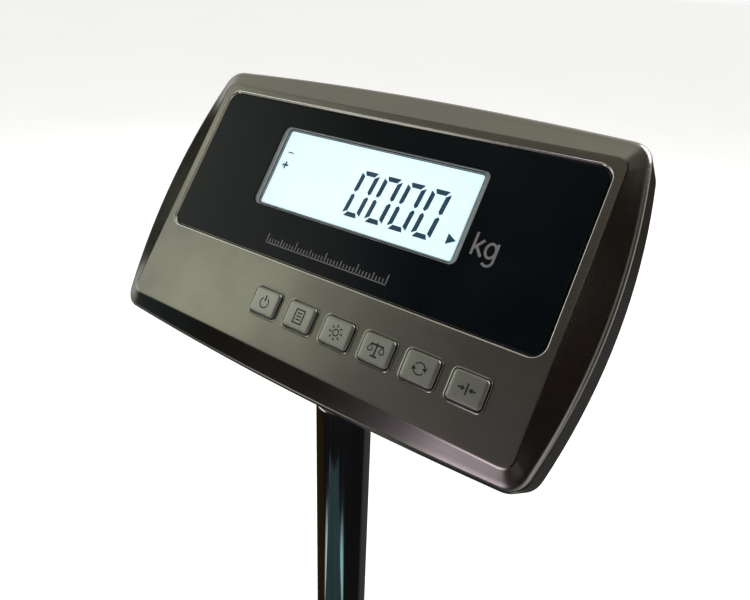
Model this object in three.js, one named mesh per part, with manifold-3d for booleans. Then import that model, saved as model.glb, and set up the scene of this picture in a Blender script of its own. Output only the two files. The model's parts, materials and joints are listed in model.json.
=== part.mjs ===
// Animal weighing scale: a low platform with a removable tread pan on a single-point load cell,
// a column behind it, and a stainless display head that tilts and swivels on the column.
// Millimetres, +Z up, front towards -Y. Origin at the middle of the footprint, on the floor.
import * as THREE from 'three';
import { mergeVertices } from 'three/addons/utils/BufferGeometryUtils.js';
import Module from 'manifold-3d';

const wasm = await Module();
wasm.setup();

// ---- driving dimensions -------------------------------------------------
const GAP = 0.3;                 // left between neighbouring pieces
// platform
const PAN_W = 400, PAN_L = 500, PAN_T = 2, PAN_SKIRT_Z = 70;
const PAN_Y = -61.48;            // middle of the pan
const MAT_T = 4, MAT_W = 384, MAT_L = 484;
const RAIL_W = 40, RAIL_H = 30, RAIL_T = 2, RAIL_X = 165, RAIL_Z = 32;
const RAIL_Y0 = PAN_Y - 240, RAIL_Y1 = PAN_Y + 316;
const CELL_L = 150, CELL_W = 40, CELL_H = 25;
const TOP_W = 25, TOP_H = 20, TOP_X = 140, TOP_L = 450;
const FOOT_R = 22, STUD_R = 5;
// column
const COL_Y = PAN_Y + 292, COL_R = 15.9, COL_BORE = 14.4, COL_LEN = 580;
// head: middle of the display recess, on the front plane
const FACE_TILT = Math.atan2(0.8, 0.6);          // turn about X from lying flat
const HEAD_Y = COL_Y + 6.6;
const HEAD_Z = RAIL_Z + RAIL_H + GAP + COL_LEN + 117.8;
const HEAD_RX = 135.9, HEAD_SX = 9.4;            // half width, side bow
const HEAD_YT = 60.4, HEAD_YB = -99.6, HEAD_SY = 3.4;
const PLAT_X = 120.2, PLAT_YT = 47.2, PLAT_YB = -87.3; // flat front land
const SEAM_Z = -24.5, BACK_Z = -64;
const PANEL_W = 231, PANEL_H = 85, PANEL_R = 6;
const WIN_W = 128.2, WIN_H = 46.5, WIN_Y = 6.05, WIN_R = 3.5;
const KEY_W = 17.85, KEY_H = 14.3, KEY_X0 = -25.5, KEY_PITCH = 23.53, KEY_Y = -64.9;
const FLOOR_Z = -87.3;           // slanted lower back face, level when the head is at rest
const FLOOR_Y = -8.4;            // its middle
const TILT_Y = -6.6, TILT_Z = -103, KNUCKLE_R = 10; // tilt axis, from the head's middle

// ---- helpers -------------------------------------------------------------
function clean(geo) {
  const g = geo.clone();
  for (const a of ['normal', 'uv', 'uv1', 'color']) if (g.attributes[a]) g.deleteAttribute(a);
  const m = mergeVertices(g, 1e-3);
  const p = m.attributes.position, ix = m.index.array, out = [];
  let vol = 0;
  const a = new THREE.Vector3(), b = new THREE.Vector3(), c = new THREE.Vector3();
  for (let i = 0; i < ix.length; i += 3) {
    const [u, v, w] = [ix[i], ix[i + 1], ix[i + 2]];
    if (u === v || v === w || u === w) continue;
    out.push(u, v, w);
    a.fromBufferAttribute(p, u); b.fromBufferAttribute(p, v); c.fromBufferAttribute(p, w);
    vol += a.dot(b.clone().cross(c));
  }
  if (vol < 0) for (let i = 0; i < out.length; i += 3) [out[i + 1], out[i + 2]] = [out[i + 2], out[i + 1]];
  const r = new THREE.BufferGeometry();
  r.setAttribute('position', new THREE.BufferAttribute(new Float32Array(p.array), 3));
  r.setIndex(out);
  return r;
}
function solid(geo) {
  const g = clean(geo);
  return new wasm.Manifold(new wasm.Mesh({
    numProp: 3,
    vertProperties: new Float32Array(g.attributes.position.array),
    triVerts: new Uint32Array(g.index.array),
  }));
}
function geoOf(man) {
  const m = man.getMesh();
  const n = m.numProp, count = m.vertProperties.length / n, p = new Float32Array(count * 3);
  for (let i = 0; i < count; i++) for (let k = 0; k < 3; k++) p[i * 3 + k] = m.vertProperties[i * n + k];
  const g = new THREE.BufferGeometry();
  g.setAttribute('position', new THREE.BufferAttribute(p, 3));
  g.setIndex(Array.from(m.triVerts));
  return g;
}
const add = (...gs) => geoOf(gs.map(solid).reduce((x, y) => x.add(y)));
const cut = (g, ...cs) => geoOf(cs.map(solid).reduce((x, y) => x.subtract(y), solid(g)));

function rrect(w, h, r, x = 0, y = 0) {
  const s = new THREE.Shape(), a = w / 2, b = h / 2, q = Math.PI / 2;
  s.moveTo(x + a - r, y - b);
  s.absarc(x + a - r, y - b + r, r, -q, 0);
  s.absarc(x + a - r, y + b - r, r, 0, q);
  s.absarc(x - a + r, y + b - r, r, q, 2 * q);
  s.absarc(x - a + r, y - b + r, r, 2 * q, 3 * q);
  s.closePath();
  return s;
}
function slab(shape, z0, z1, seg = 4, holes = []) {
  shape.holes.push(...holes);
  return new THREE.ExtrudeGeometry(shape, { depth: z1 - z0, bevelEnabled: false, curveSegments: seg }).translate(0, 0, z0);
}
const block = (x0, x1, y0, y1, z0, z1) =>
  new THREE.BoxGeometry(x1 - x0, y1 - y0, z1 - z0).translate((x0 + x1) / 2, (y0 + y1) / 2, (z0 + z1) / 2);
function rod(r, z0, z1, seg = 20, x = 0, y = 0) {
  return new THREE.CylinderGeometry(r, r, z1 - z0, seg).rotateX(Math.PI / 2).translate(x, y, (z0 + z1) / 2);
}
const rodX = (r, x0, x1, y, z, seg = 20) =>
  new THREE.CylinderGeometry(r, r, x1 - x0, seg).rotateZ(Math.PI / 2).translate((x0 + x1) / 2, y, z);
const rodY = (r, y0, y1, x, z, seg = 20) =>
  new THREE.CylinderGeometry(r, r, y1 - y0, seg).translate(x, (y0 + y1) / 2, z);
// profile of [radius, z] pairs, turned about Z
const lathe = (pts, seg = 24) =>
  new THREE.LatheGeometry(pts.map(([r, z]) => new THREE.Vector2(r, z)), seg).rotateX(Math.PI / 2);
// stack of rings with equal point counts, capped by a fan at each end
function loft(rings) {
  const n = rings[0].length, p = [], ix = [];
  rings.forEach((r) => r.forEach((q) => p.push(...q)));
  for (let k = 0; k + 1 < rings.length; k++) for (let i = 0; i < n; i++) {
    const a = k * n + i, b = k * n + (i + 1) % n, c = a + n, d = b + n;
    ix.push(a, b, d, a, d, c);
  }
  const cap = (k, flip) => {
    const m = [0, 0, 0];
    rings[k].forEach((q) => q.forEach((v, j) => { m[j] += v / n; }));
    const id = p.length / 3;
    p.push(...m);
    for (let i = 0; i < n; i++) {
      const a = k * n + i, b = k * n + (i + 1) % n;
      if (flip) ix.push(id, b, a); else ix.push(id, a, b);
    }
  };
  cap(0, true);
  cap(rings.length - 1, false);
  const g = new THREE.BufferGeometry();
  g.setAttribute('position', new THREE.BufferAttribute(new Float32Array(p), 3));
  g.setIndex(ix);
  return g;
}
// four-sided outline with bowed edges and rounded corners
const EDGE_N = 6, CORNER_N = 3;
function outline({ rx, sx, yt, yb, sy, cutOff, z = 0, inset = 0, edgeN = EDGE_N, cornerN = CORNER_N }) {
  const X = rx - inset, T = yt - inset, B = yb + inset, xc = X - sx, tc = T - sy, bc = B + sy;
  const ym = (tc + bc) / 2, hy = (tc - bc) / 2, c = cutOff;
  const side = (y) => X - sx * ((y - ym) / hy) ** 2;
  const top = (x) => T - sy * (x / xc) ** 2, bot = (x) => B + sy * (x / xc) ** 2;
  const pts = [];
  const bez = (a, b, d) => {
    for (let i = 1; i < cornerN; i++) {
      const t = i / cornerN, u = 1 - t;
      pts.push([u * u * a[0] + 2 * u * t * b[0] + t * t * d[0], u * u * a[1] + 2 * u * t * b[1] + t * t * d[1], z]);
    }
  };
  const run = (f) => { for (let i = 0; i <= edgeN; i++) pts.push(f(i / edgeN)); };
  const lerp = (a, b, t) => a + (b - a) * t;
  run((t) => { const y = lerp(bc + c, tc - c, t); return [side(y), y, z]; });
  bez([side(tc - c), tc - c], [xc, tc], [xc - c, top(xc - c)]);
  run((t) => { const x = lerp(xc - c, -xc + c, t); return [x, top(x), z]; });
  bez([-xc + c, top(xc - c)], [-xc, tc], [-side(tc - c), tc - c]);
  run((t) => { const y = lerp(tc - c, bc + c, t); return [-side(y), y, z]; });
  bez([-side(bc + c), bc + c], [-xc, bc], [-xc + c, bot(xc - c)]);
  run((t) => { const x = lerp(-xc + c, xc - c, t); return [x, bot(x), z]; });
  bez([xc - c, bot(xc - c)], [xc, bc], [side(bc + c), bc + c]);
  return pts;
}
const rim = (inset, z) => outline({ rx: HEAD_RX, sx: HEAD_SX, yt: HEAD_YT, yb: HEAD_YB, sy: HEAD_SY, cutOff: 9, z, inset });
const plat = (inset, z) => outline({ rx: PLAT_X, sx: 0, yt: PLAT_YT, yb: PLAT_YB, sy: 0, cutOff: 7, z, inset });
const shapeOf = (pts) => new THREE.Shape(pts.map(([x, y]) => new THREE.Vector2(x, y)));
const toHead = (g) => g.clone().rotateX(-FACE_TILT);   // from level axes at the head's middle to face axes

// ---- assembly -------------------------------------------------------------
const root = new THREE.Group();
const head = new THREE.Group();          // axes on the face: X right, Y up the face, Z out of it
head.position.set(0, HEAD_Y, HEAD_Z);
head.rotation.x = FACE_TILT;
const level = new THREE.Group();         // same point, level axes
level.position.set(0, HEAD_Y, HEAD_Z);
root.add(head, level);

function put(group, name, geo, color, roughness = 0.5, metalness = 0) {
  const m = new THREE.Mesh(clean(geo), new THREE.MeshStandardMaterial({ color, roughness, metalness }));
  m.name = name;
  group.add(m);
  return m;
}
const STEEL = 0x8b897f, STEEL_DARK = 0x62605a, BLACK = 0x0b0c0e, RUBBER = 0x1b1c1d;

// ---- display head ---------------------------------------------------------
const screwAt = [[-60, 53.6], [60, 53.6], [-60, -92.8], [60, -92.8]];
{
  const outer = solid(loft([rim(0.5, SEAM_Z), rim(0, -5), rim(0.5, -3.4), rim(1.8, -2.5), plat(-0.6, -0.25), plat(0.5, 0)]));
  const tray = solid(slab(rrect(PANEL_W + 3.6, PANEL_H + 3.6, PANEL_R + 1.8), -3.4, -1.2));
  let hollow = solid(loft([rim(2.6, -27), rim(2.2, -6.4), rim(4, -4.8), plat(0.4, -2.2)])).subtract(tray);
  for (const [x, y] of screwAt) hollow = hollow.subtract(solid(rod(4, SEAM_Z, -3.9, 12, x, y)));
  let cover = outer.subtract(hollow);
  cover = cover.subtract(solid(slab(rrect(PANEL_W, PANEL_H, PANEL_R), -1.8, 3)));
  cover = cover.subtract(solid(slab(rrect(134, 52, 3, 0, WIN_Y), -6, 3)));
  for (let i = 0; i < 6; i++) cover = cover.subtract(solid(slab(rrect(KEY_W, KEY_H, 2.4, KEY_X0 + i * KEY_PITCH, KEY_Y), -6, 3, 3)));
  for (const [x, y] of screwAt) cover = cover.subtract(solid(rod(2.0, -27, -13, 10, x, y)));
  put(head, 'front_cover', geoOf(cover), STEEL, 0.35, 1);
}
{
  const bow = (rx, sx, yt, yb, sy, z, c = 16) => outline({ rx, sx, yt, yb, sy, cutOff: c, z });
  const slope = (z) => -88.6 - 0.75 * (z + 27.4);       // y on the slanted lower face at depth z
  const flange = solid(slab(shapeOf(rim(1, 0)), -27.9, -25.9));
  const shell = solid(loft([bow(124.9, 8, 49.4, slope(-26.9), 0, -26.9), bow(113, 5, 41, slope(-61.8), 0, -61.8), bow(110.6, 5, 38.6, slope(-61.8) + 2.6, 0, BACK_Z)]));
  const well = solid(loft([bow(122.6, 8, 47.1, slope(-25) + 2.4, 0, -25), bow(111, 5, 39, slope(-60.6) + 2.4, 0, -60.6), bow(109, 5, 37, slope(-60.6) + 4, 0, BACK_Z + 2)]));
  let cover = flange.add(shell).subtract(well);
  for (const [x, y] of screwAt) cover = cover.subtract(solid(rod(2.0, -29, -24, 10, x, y)));
  const through = [
    rod(8, -92, -80, 16, -62, FLOOR_Y), rod(5.4, -92, -80, 14, -90, FLOOR_Y),
    block(62 - 9.9, 62 + 9.9, FLOOR_Y - 6.4, FLOOR_Y + 6.4, -92, -80),
    rod(2.9, -92, -80, 10, -41, FLOOR_Y), rod(2.9, -92, -80, 10, 41, FLOOR_Y),
  ];
  for (const c of through) cover = cover.subtract(solid(toHead(c)));
  put(head, 'rear_cover', geoOf(cover), STEEL_DARK, 0.4, 1);
}
put(head, 'cover_gasket', slab(shapeOf(rim(0.9, 0)), -25.6, -24.8, 4, [shapeOf(rim(3.2, 0))]), RUBBER, 0.8, 0);
put(head, 'display_panel', slab(rrect(PANEL_W - 2 * GAP, PANEL_H - 2 * GAP, PANEL_R), -1.5, -0.5, 4, [rrect(WIN_W, WIN_H, WIN_R, 0, WIN_Y)]), BLACK, 0.12, 0);
put(head, 'display_window', slab(rrect(WIN_W - 2 * GAP, WIN_H - 2 * GAP, WIN_R, 0, WIN_Y), -1.5, -0.7), 0xd8e4e6, 0.05, 0);
put(head, 'lcd_frame', cut(slab(rrect(133.2, 51.2, 2.6, 0, WIN_Y), -10.3, -1.8),
  slab(rrect(121.4, 43, 1.2, 0, WIN_Y), -12, 0, 2), slab(rrect(126.2, 47.4, 1, 0, WIN_Y), -12, -2.8, 2)), 0x8a9797, 0.5, 0);
put(head, 'lcd_cell', block(-62.7, 62.7, WIN_Y - 23.3, WIN_Y + 23.3, -5.6, -3.1), 0xbfd4d8, 0.15, 0);
put(head, 'backlight_plate', block(-62.7, 62.7, WIN_Y - 23.3, WIN_Y + 23.3, -9.4, -5.9), 0xf2fbff, 0.6, 0);
put(head, 'main_board', add(block(-96, 96, -30, 38, -12.6, -11), block(-80, -52, -10, 12, -15.6, -12.2), block(-30, -6, 2, 22, -14.4, -12.2),
  block(20, 44, -22, -4, -17.6, -12.2), block(60, 84, 4, 30, -22, -12.2)), 0x1f5a3a, 0.6, 0);
{
  const bits = [block(KEY_X0 - 14, KEY_X0 + 5 * KEY_PITCH + 14, KEY_Y - 11, KEY_Y + 11, -9.4, -7.8)];
  for (let i = 0; i < 6; i++) bits.push(block(KEY_X0 + i * KEY_PITCH - 3, KEY_X0 + i * KEY_PITCH + 3, KEY_Y - 3, KEY_Y + 3, -8, -5.8));
  put(head, 'key_board', add(...bits), 0x1f5a3a, 0.6, 0);
}
for (let i = 0; i < 6; i++) {
  const x = KEY_X0 + i * KEY_PITCH;
  const cap = loft([
    [-2.6, 0], [0.9, 0], [1.5, 0.7],
  ].map(([z, d]) => outline({ rx: KEY_W / 2 - 0.35, sx: 0, yt: KEY_H / 2 - 0.35, yb: -KEY_H / 2 + 0.35, sy: 0, cutOff: 2.6, z, inset: d, edgeN: 1 }).map(([a, b, c]) => [a + x, b + KEY_Y, c])));
  const flange = block(x - 10.2, x + 10.2, KEY_Y - 8.4, KEY_Y + 8.4, -3.8, -2.5);
  const stem = block(x - 2.5, x + 2.5, KEY_Y - 2.5, KEY_Y + 2.5, -4.6, -3.5);
  put(head, `key_${i + 1}`, add(cap, flange, stem), 0x9a9c95, 0.35, 1);
}
put(head, 'battery_pack', slab(rrect(76, 40, 6, -62, 8), -60.6, -41, 3), 0x20477a, 0.45, 0);
put(head, 'battery_clamp', add(block(-69, -55, -17.6, -12.6, -61.4, -59.9), block(-69, -55, -14.1, -12.6, -60.5, -39.2), block(-69, -55, -14.1, 30.1, -40.7, -39.2),
  block(-69, -55, 28.6, 30.1, -60.5, -39.2), block(-69, -55, 28.6, 33.6, -61.4, -59.9)), 0xa7a9a8, 0.4, 1);
screwAt.forEach(([x, y], i) => put(head, `cover_screw_${i + 1}`,
  lathe([[0, -31.2], [2.2, -31.2], [3.3, -30.2], [3.5, -28.2], [1.7, -28.2], [1.7, -15], [0, -14.4]], 10).translate(x, y, 0), 0xb9babb, 0.3, 1));

// pieces on the slanted lower back face, in level axes
put(level, 'tilt_bracket', cut(add(
  slab(rrect(96, 36, 5, 0, FLOOR_Y), FLOOR_Z - 0.4 - 2.5, FLOOR_Z - 0.4, 3),
  ...[-1, 1].flatMap((s) => [
    block(Math.min(s * 14.6, s * 17.6), Math.max(s * 14.6, s * 17.6), TILT_Y - 11, TILT_Y + 11, TILT_Z, FLOOR_Z - 1),
    rodX(11, Math.min(s * 14.6, s * 17.6), Math.max(s * 14.6, s * 17.6), TILT_Y, TILT_Z)])),
  rodX(4.4, -30, 30, TILT_Y, TILT_Z, 16), rod(2.9, -95, -80, 10, -41, FLOOR_Y), rod(2.9, -95, -80, 10, 41, FLOOR_Y)), 0x9c9d9c, 0.35, 1);
for (const [n, x] of [["left", -41], ["right", 41]]) put(level, `bracket_screw_${n}`,
  lathe([[0, FLOOR_Z - 6.6], [2.6, FLOOR_Z - 6.6], [4.4, FLOOR_Z - 5.4], [4.6, FLOOR_Z - 3.2], [2.5, FLOOR_Z - 3.2], [2.5, FLOOR_Z + 6], [0, FLOOR_Z + 6.6]], 10).translate(x, FLOOR_Y, 0), 0xb9babb, 0.3, 1);
put(level, 'cable_gland', lathe([[2.6, FLOOR_Z - 21], [5.6, FLOOR_Z - 21], [8, FLOOR_Z - 17], [8.6, FLOOR_Z - 8], [8.6, FLOOR_Z - 5.5], [10, FLOOR_Z - 5], [10, FLOOR_Z - 0.4], [7.6, FLOOR_Z - 0.4], [7.6, FLOOR_Z + 9], [2.6, FLOOR_Z + 9], [2.6, FLOOR_Z - 21]], 14).translate(-62, FLOOR_Y, 0), 0x17181a, 0.5, 0);
put(level, 'charge_jack', lathe([[0, FLOOR_Z + 12], [5, FLOOR_Z + 12], [5, FLOOR_Z - 0.4], [7, FLOOR_Z - 0.4], [7, FLOOR_Z - 2.6], [2.7, FLOOR_Z - 2.6], [2.7, FLOOR_Z + 8], [0, FLOOR_Z + 8]], 16).translate(-90, FLOOR_Y, 0), 0x17181a, 0.5, 0);
put(level, 'switch_housing', cut(add(slab(rrect(23.6, 16.6, 1.5, 62, FLOOR_Y), FLOOR_Z - 2, FLOOR_Z - 0.4, 3), block(62 - 9.5, 62 + 9.5, FLOOR_Y - 6, FLOOR_Y + 6, FLOOR_Z - 1, FLOOR_Z + 14)),
  block(62 - 8.2, 62 + 8.2, FLOOR_Y - 4.9, FLOOR_Y + 4.9, FLOOR_Z - 4, FLOOR_Z + 11)), 0x121314, 0.45, 0);
{
  const s = new THREE.Shape([[-7.2, 1], [-7.2, -4.4], [0, -2.9], [7.2, -4.4], [7.2, 1], [4, 4], [-4, 4]].map(([a, b]) => new THREE.Vector2(a, b)));
  const g = new THREE.ExtrudeGeometry(s, { depth: 9, bevelEnabled: false }).translate(0, 0, -4.5).rotateX(Math.PI / 2).rotateY(THREE.MathUtils.degToRad(8));
  put(level, 'power_rocker', g.translate(62, FLOOR_Y, FLOOR_Z + 2.2), 0x0c0d0e, 0.35, 0);
}

// ---- neck ------------------------------------------------------------------
put(level, 'column_head', cut(add(
  rod(14.0, TILT_Z - 62, TILT_Z - 12, 28, 0, TILT_Y), rod(COL_R, TILT_Z - 14.5, TILT_Z - 11.5, 32, 0, TILT_Y),
  block(-14, 14, TILT_Y - 8.5, TILT_Y + 8.5, TILT_Z - 13, TILT_Z), rodX(KNUCKLE_R, -14, 14, TILT_Y, TILT_Z)),
  rodX(4.4, -20, 20, TILT_Y, TILT_Z, 16)), 0xa0a1a0, 0.3, 1);
put(level, 'tilt_bolt', add(rodX(4, -20, 26, TILT_Y, TILT_Z, 16), rodX(7, -23.6, -18, TILT_Y, TILT_Z, 6)), 0xb9babb, 0.3, 1);
{
  const s = new THREE.Shape(), n = 30;
  for (let i = 0; i < n; i++) {
    const t = i / n * 2 * Math.PI, r = 11 + 1.3 * Math.cos(5 * t);
    if (i) s.lineTo(r * Math.cos(t), r * Math.sin(t)); else s.moveTo(r * Math.cos(t), r * Math.sin(t));
  }
  const star = slab(s, 22, 34).rotateY(Math.PI / 2).translate(0, TILT_Y, TILT_Z);
  put(level, 'tilt_knob', cut(add(star, rodX(7, 18, 23, TILT_Y, TILT_Z, 20)), rodX(4.4, 10, 27, TILT_Y, TILT_Z, 16)), 0x141516, 0.5, 0);
}

// ---- column ----------------------------------------------------------------
const RAIL_TOP = RAIL_Z + RAIL_H, COL_Z0 = RAIL_TOP + GAP;
put(root, 'column_tube', cut(lathe([[COL_BORE, 0], [COL_R, 0], [COL_R, COL_LEN], [COL_BORE, COL_LEN], [COL_BORE, 0]], 32).translate(0, COL_Y, COL_Z0),
  rodY(3.3, COL_Y + 5, COL_Y + 25, 0, COL_Z0 + COL_LEN - 24, 12)), 0xa8a9aa, 0.12, 1);
put(root, 'neck_set_screw', rodY(3, COL_Y + 14.4, COL_Y + 17.6, 0, COL_Z0 + COL_LEN - 24, 12), 0x2a2b2c, 0.4, 1);
put(root, 'column_socket', cut(add(slab(rrect(104, 46, 12, 0, COL_Y), COL_Z0, COL_Z0 + 7, 3), rod(21.5, COL_Z0, COL_Z0 + 70, 24, 0, COL_Y)),
  rod(COL_R + 0.5, COL_Z0 - 5, COL_Z0 + 80, 28, 0, COL_Y), rod(4.6, COL_Z0 - 5, COL_Z0 + 12, 12, -41, COL_Y), rod(4.6, COL_Z0 - 5, COL_Z0 + 12, 12, 41, COL_Y),
  rodY(4.4, COL_Y + 5, COL_Y + 30, 0, COL_Z0 + 46, 12)), 0x55575a, 0.5, 0.6);
for (const [n, x] of [['left', -41], ['right', 41]]) put(root, `socket_bolt_${n}`,
  add(rod(4.2, RAIL_Z + 20, COL_Z0 + 8, 14, x, COL_Y), rod(7.2, COL_Z0 + 7.3, COL_Z0 + 12.6, 6, x, COL_Y)), 0xb9babb, 0.3, 1);
put(root, 'column_clamp_bolt', add(rodY(4, COL_Y + 16.4, COL_Y + 24, 0, COL_Z0 + 46, 14), rodY(7, COL_Y + 22.2, COL_Y + 27.6, 0, COL_Z0 + 46, 6)), 0xb9babb, 0.3, 1);

// ---- platform ---------------------------------------------------------------
const FRAME_PAINT = 0x3c4146;
// rectangular tube along Y or X
function tube(w, h, t, len, alongX) {
  const g = slab(rrect(w, h, 3.5), 0, len, 2, [rrect(w - 2 * t, h - 2 * t, 1.6)]);
  return alongX ? g.rotateX(Math.PI / 2).rotateZ(Math.PI / 2) : g.rotateX(Math.PI / 2);
}
const FEET = [[-RAIL_X, PAN_Y - 215], [RAIL_X, PAN_Y - 215], [-RAIL_X, COL_Y], [RAIL_X, COL_Y]];
for (const [n, s] of [['left', -1], ['right', 1]]) {
  const endWall = (y) => block(s * RAIL_X - 19, s * RAIL_X + 19, y, y + 3, RAIL_Z + 1, RAIL_Z + RAIL_H - 1);
  const g = add(tube(RAIL_W, RAIL_H, RAIL_T, RAIL_Y1 - RAIL_Y0, false).translate(s * RAIL_X, RAIL_Y1, RAIL_Z + RAIL_H / 2), endWall(RAIL_Y0), endWall(RAIL_Y1 - 3));
  put(root, `base_rail_${n}`, cut(g, ...FEET.filter(([x]) => x * s > 0).map(([x, y]) => rod(STUD_R + 0.5, RAIL_Z - 5, RAIL_Z + 10, 14, x, y))), FRAME_PAINT, 0.55, 0.3);
}
const CROSS_X = RAIL_X - RAIL_W / 2 - GAP;
for (const [n, y] of [['front', PAN_Y - 200], ['middle', PAN_Y + 50], ['rear', COL_Y]]) {
  const g = tube(RAIL_W, RAIL_H, RAIL_T, 2 * CROSS_X, true).translate(-CROSS_X, y, RAIL_Z + RAIL_H / 2);
  const holes = n === 'rear' ? [rod(4.7, RAIL_TOP - 8, RAIL_TOP + 5, 12, -41, y), rod(4.7, RAIL_TOP - 8, RAIL_TOP + 5, 12, 41, y)] : [];
  put(root, `base_crossbar_${n}`, holes.length ? cut(g, ...holes) : g, FRAME_PAINT, 0.55, 0.3);
}
FEET.forEach(([x, y], i) => put(root, `foot_${i + 1}`, lathe([[0, 0], [FOOT_R - 1.5, 0], [FOOT_R, 1.5], [FOOT_R, 7], [FOOT_R - 4, 12], [9, 14.5], [9, 18], [STUD_R, 18], [STUD_R, RAIL_Z + 22], [0, RAIL_Z + 22]], 20).translate(x, y, 0), RUBBER, 0.8, 0));
const CELL_Z = RAIL_TOP + GAP + 4 + GAP;
put(root, 'cell_spacer_lower', block(-20, 20, PAN_Y + 36, PAN_Y + 73, RAIL_TOP + GAP, RAIL_TOP + GAP + 4), 0x8f9193, 0.4, 1);
put(root, 'load_cell', cut(block(-CELL_W / 2, CELL_W / 2, PAN_Y - CELL_L / 2, PAN_Y + CELL_L / 2, CELL_Z, CELL_Z + CELL_H),
  add(rodX(9, -30, 30, PAN_Y - 15, CELL_Z + CELL_H / 2, 20), rodX(9, -30, 30, PAN_Y + 15, CELL_Z + CELL_H / 2, 20), block(-30, 30, PAN_Y - 16, PAN_Y + 16, CELL_Z + CELL_H / 2 - 4, CELL_Z + CELL_H / 2 + 4))), 0xb9bcc0, 0.35, 1);
const SPACER_Z = CELL_Z + CELL_H + GAP, TOP_Z = SPACER_Z + 4 + GAP;
put(root, 'cell_spacer_upper', block(-20, 20, PAN_Y - 73, PAN_Y - 36, SPACER_Z, SPACER_Z + 4), 0x8f9193, 0.4, 1);
for (const [n, s] of [['left', -1], ['right', 1]])
  put(root, `top_rail_${n}`, tube(TOP_W, TOP_H, 2, TOP_L, false).translate(s * TOP_X, PAN_Y + TOP_L / 2, TOP_Z + TOP_H / 2), FRAME_PAINT, 0.55, 0.3);
put(root, 'top_crossbar', tube(40, TOP_H, 2, 2 * (TOP_X - TOP_W / 2 - GAP), true).translate(-(TOP_X - TOP_W / 2 - GAP), PAN_Y - 50, TOP_Z + TOP_H / 2), FRAME_PAINT, 0.55, 0.3);
const BUMP_Z = TOP_Z + TOP_H + GAP;
[[-1, -1], [1, -1], [-1, 1], [1, 1]].forEach(([a, b], i) => put(root, `pan_bumper_${i + 1}`,
  rod(10, BUMP_Z, BUMP_Z + 6, 18, a * TOP_X, PAN_Y + b * 200), RUBBER, 0.85, 0));
const PAN_Z = BUMP_Z + 6 + GAP;          // underside of the pan's sheet
put(root, 'tread_pan', cut(slab(rrect(PAN_W, PAN_L, 7, 0, PAN_Y), PAN_SKIRT_Z, PAN_Z + PAN_T), slab(rrect(PAN_W - 2 * PAN_T, PAN_L - 2 * PAN_T, 5, 0, PAN_Y), PAN_SKIRT_Z - 5, PAN_Z)), 0xb3b4b3, 0.35, 1);
put(root, 'tread_mat', slab(rrect(MAT_W, MAT_L, 10, 0, PAN_Y), PAN_Z + PAN_T + GAP, PAN_Z + PAN_T + GAP + MAT_T), RUBBER, 0.85, 0);
put(root, 'bubble_level', lathe([[0, RAIL_TOP + GAP], [14, RAIL_TOP + GAP], [14, RAIL_TOP + 8], [12.6, RAIL_TOP + 9.4], [9.5, RAIL_TOP + 9.4], [9.5, RAIL_TOP + 8], [0, RAIL_TOP + 8]], 18).translate(105, COL_Y, 0), 0x1a1b1c, 0.5, 0);

export default root;
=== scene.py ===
import bpy
import bmesh
import json
import math
from mathutils import Matrix, Vector
from mathutils.geometry import tessellate_polygon


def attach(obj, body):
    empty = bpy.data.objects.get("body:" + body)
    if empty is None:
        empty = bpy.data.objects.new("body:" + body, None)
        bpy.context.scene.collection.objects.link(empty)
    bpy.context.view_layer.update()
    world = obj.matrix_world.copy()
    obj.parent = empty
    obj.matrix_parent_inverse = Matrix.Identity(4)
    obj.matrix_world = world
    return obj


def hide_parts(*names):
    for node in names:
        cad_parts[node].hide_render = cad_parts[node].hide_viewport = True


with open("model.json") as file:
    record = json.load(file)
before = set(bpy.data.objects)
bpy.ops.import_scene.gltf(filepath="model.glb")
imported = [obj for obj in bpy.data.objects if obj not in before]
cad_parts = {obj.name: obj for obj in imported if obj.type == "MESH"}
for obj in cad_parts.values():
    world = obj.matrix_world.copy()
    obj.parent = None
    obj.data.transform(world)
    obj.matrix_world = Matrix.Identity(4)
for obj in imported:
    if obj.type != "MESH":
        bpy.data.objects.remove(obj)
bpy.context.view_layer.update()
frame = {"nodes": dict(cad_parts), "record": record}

# ---------------------------------------------------------------- sizes (mm), as in the CAD
PAN_W, PAN_L, PAN_T, PAN_Y = 400.0, 500.0, 2.0, -61.48
COL_Y = PAN_Y + 292.0
HEAD_Y, HEAD_Z = COL_Y + 6.6, 32 + 30 + 0.3 + 580 + 117.8
RX, SX, YT, YB, SY = 135.9, 9.4, 60.4, -99.6, 3.4
PLX, PLT, PLB = 120.2, 47.2, -87.3
PANEL_W, PANEL_H, PANEL_R = 231.0, 85.0, 6.0
WIN_W, WIN_H, WIN_Y, WIN_R = 128.2, 46.5, 6.05, 3.5
KEY_W, KEY_H, KEY_X0, KEY_P, KEY_Y = 17.85, 14.3, -25.5, 23.53, -64.9
FLOOR_Z, FLOOR_Y, TILT_Y, TILT_Z = -87.3, -8.4, -6.6, -103.0
SEAM, BACK = -24.5, -64.0

MM = Matrix.Scale(0.001, 4)
# face axes: X right, Y up the face, Z out of it; level axes: the same point, not tilted
HEADM = Matrix.Translation(Vector((0, HEAD_Y, HEAD_Z)) * 0.001) @ Matrix.Rotation(math.atan2(0.8, 0.6), 4, "X")
LEVELM = Matrix.Translation(Vector((0, HEAD_Y, HEAD_Z)) * 0.001)
WORLDM = Matrix.Identity(4)


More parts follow.
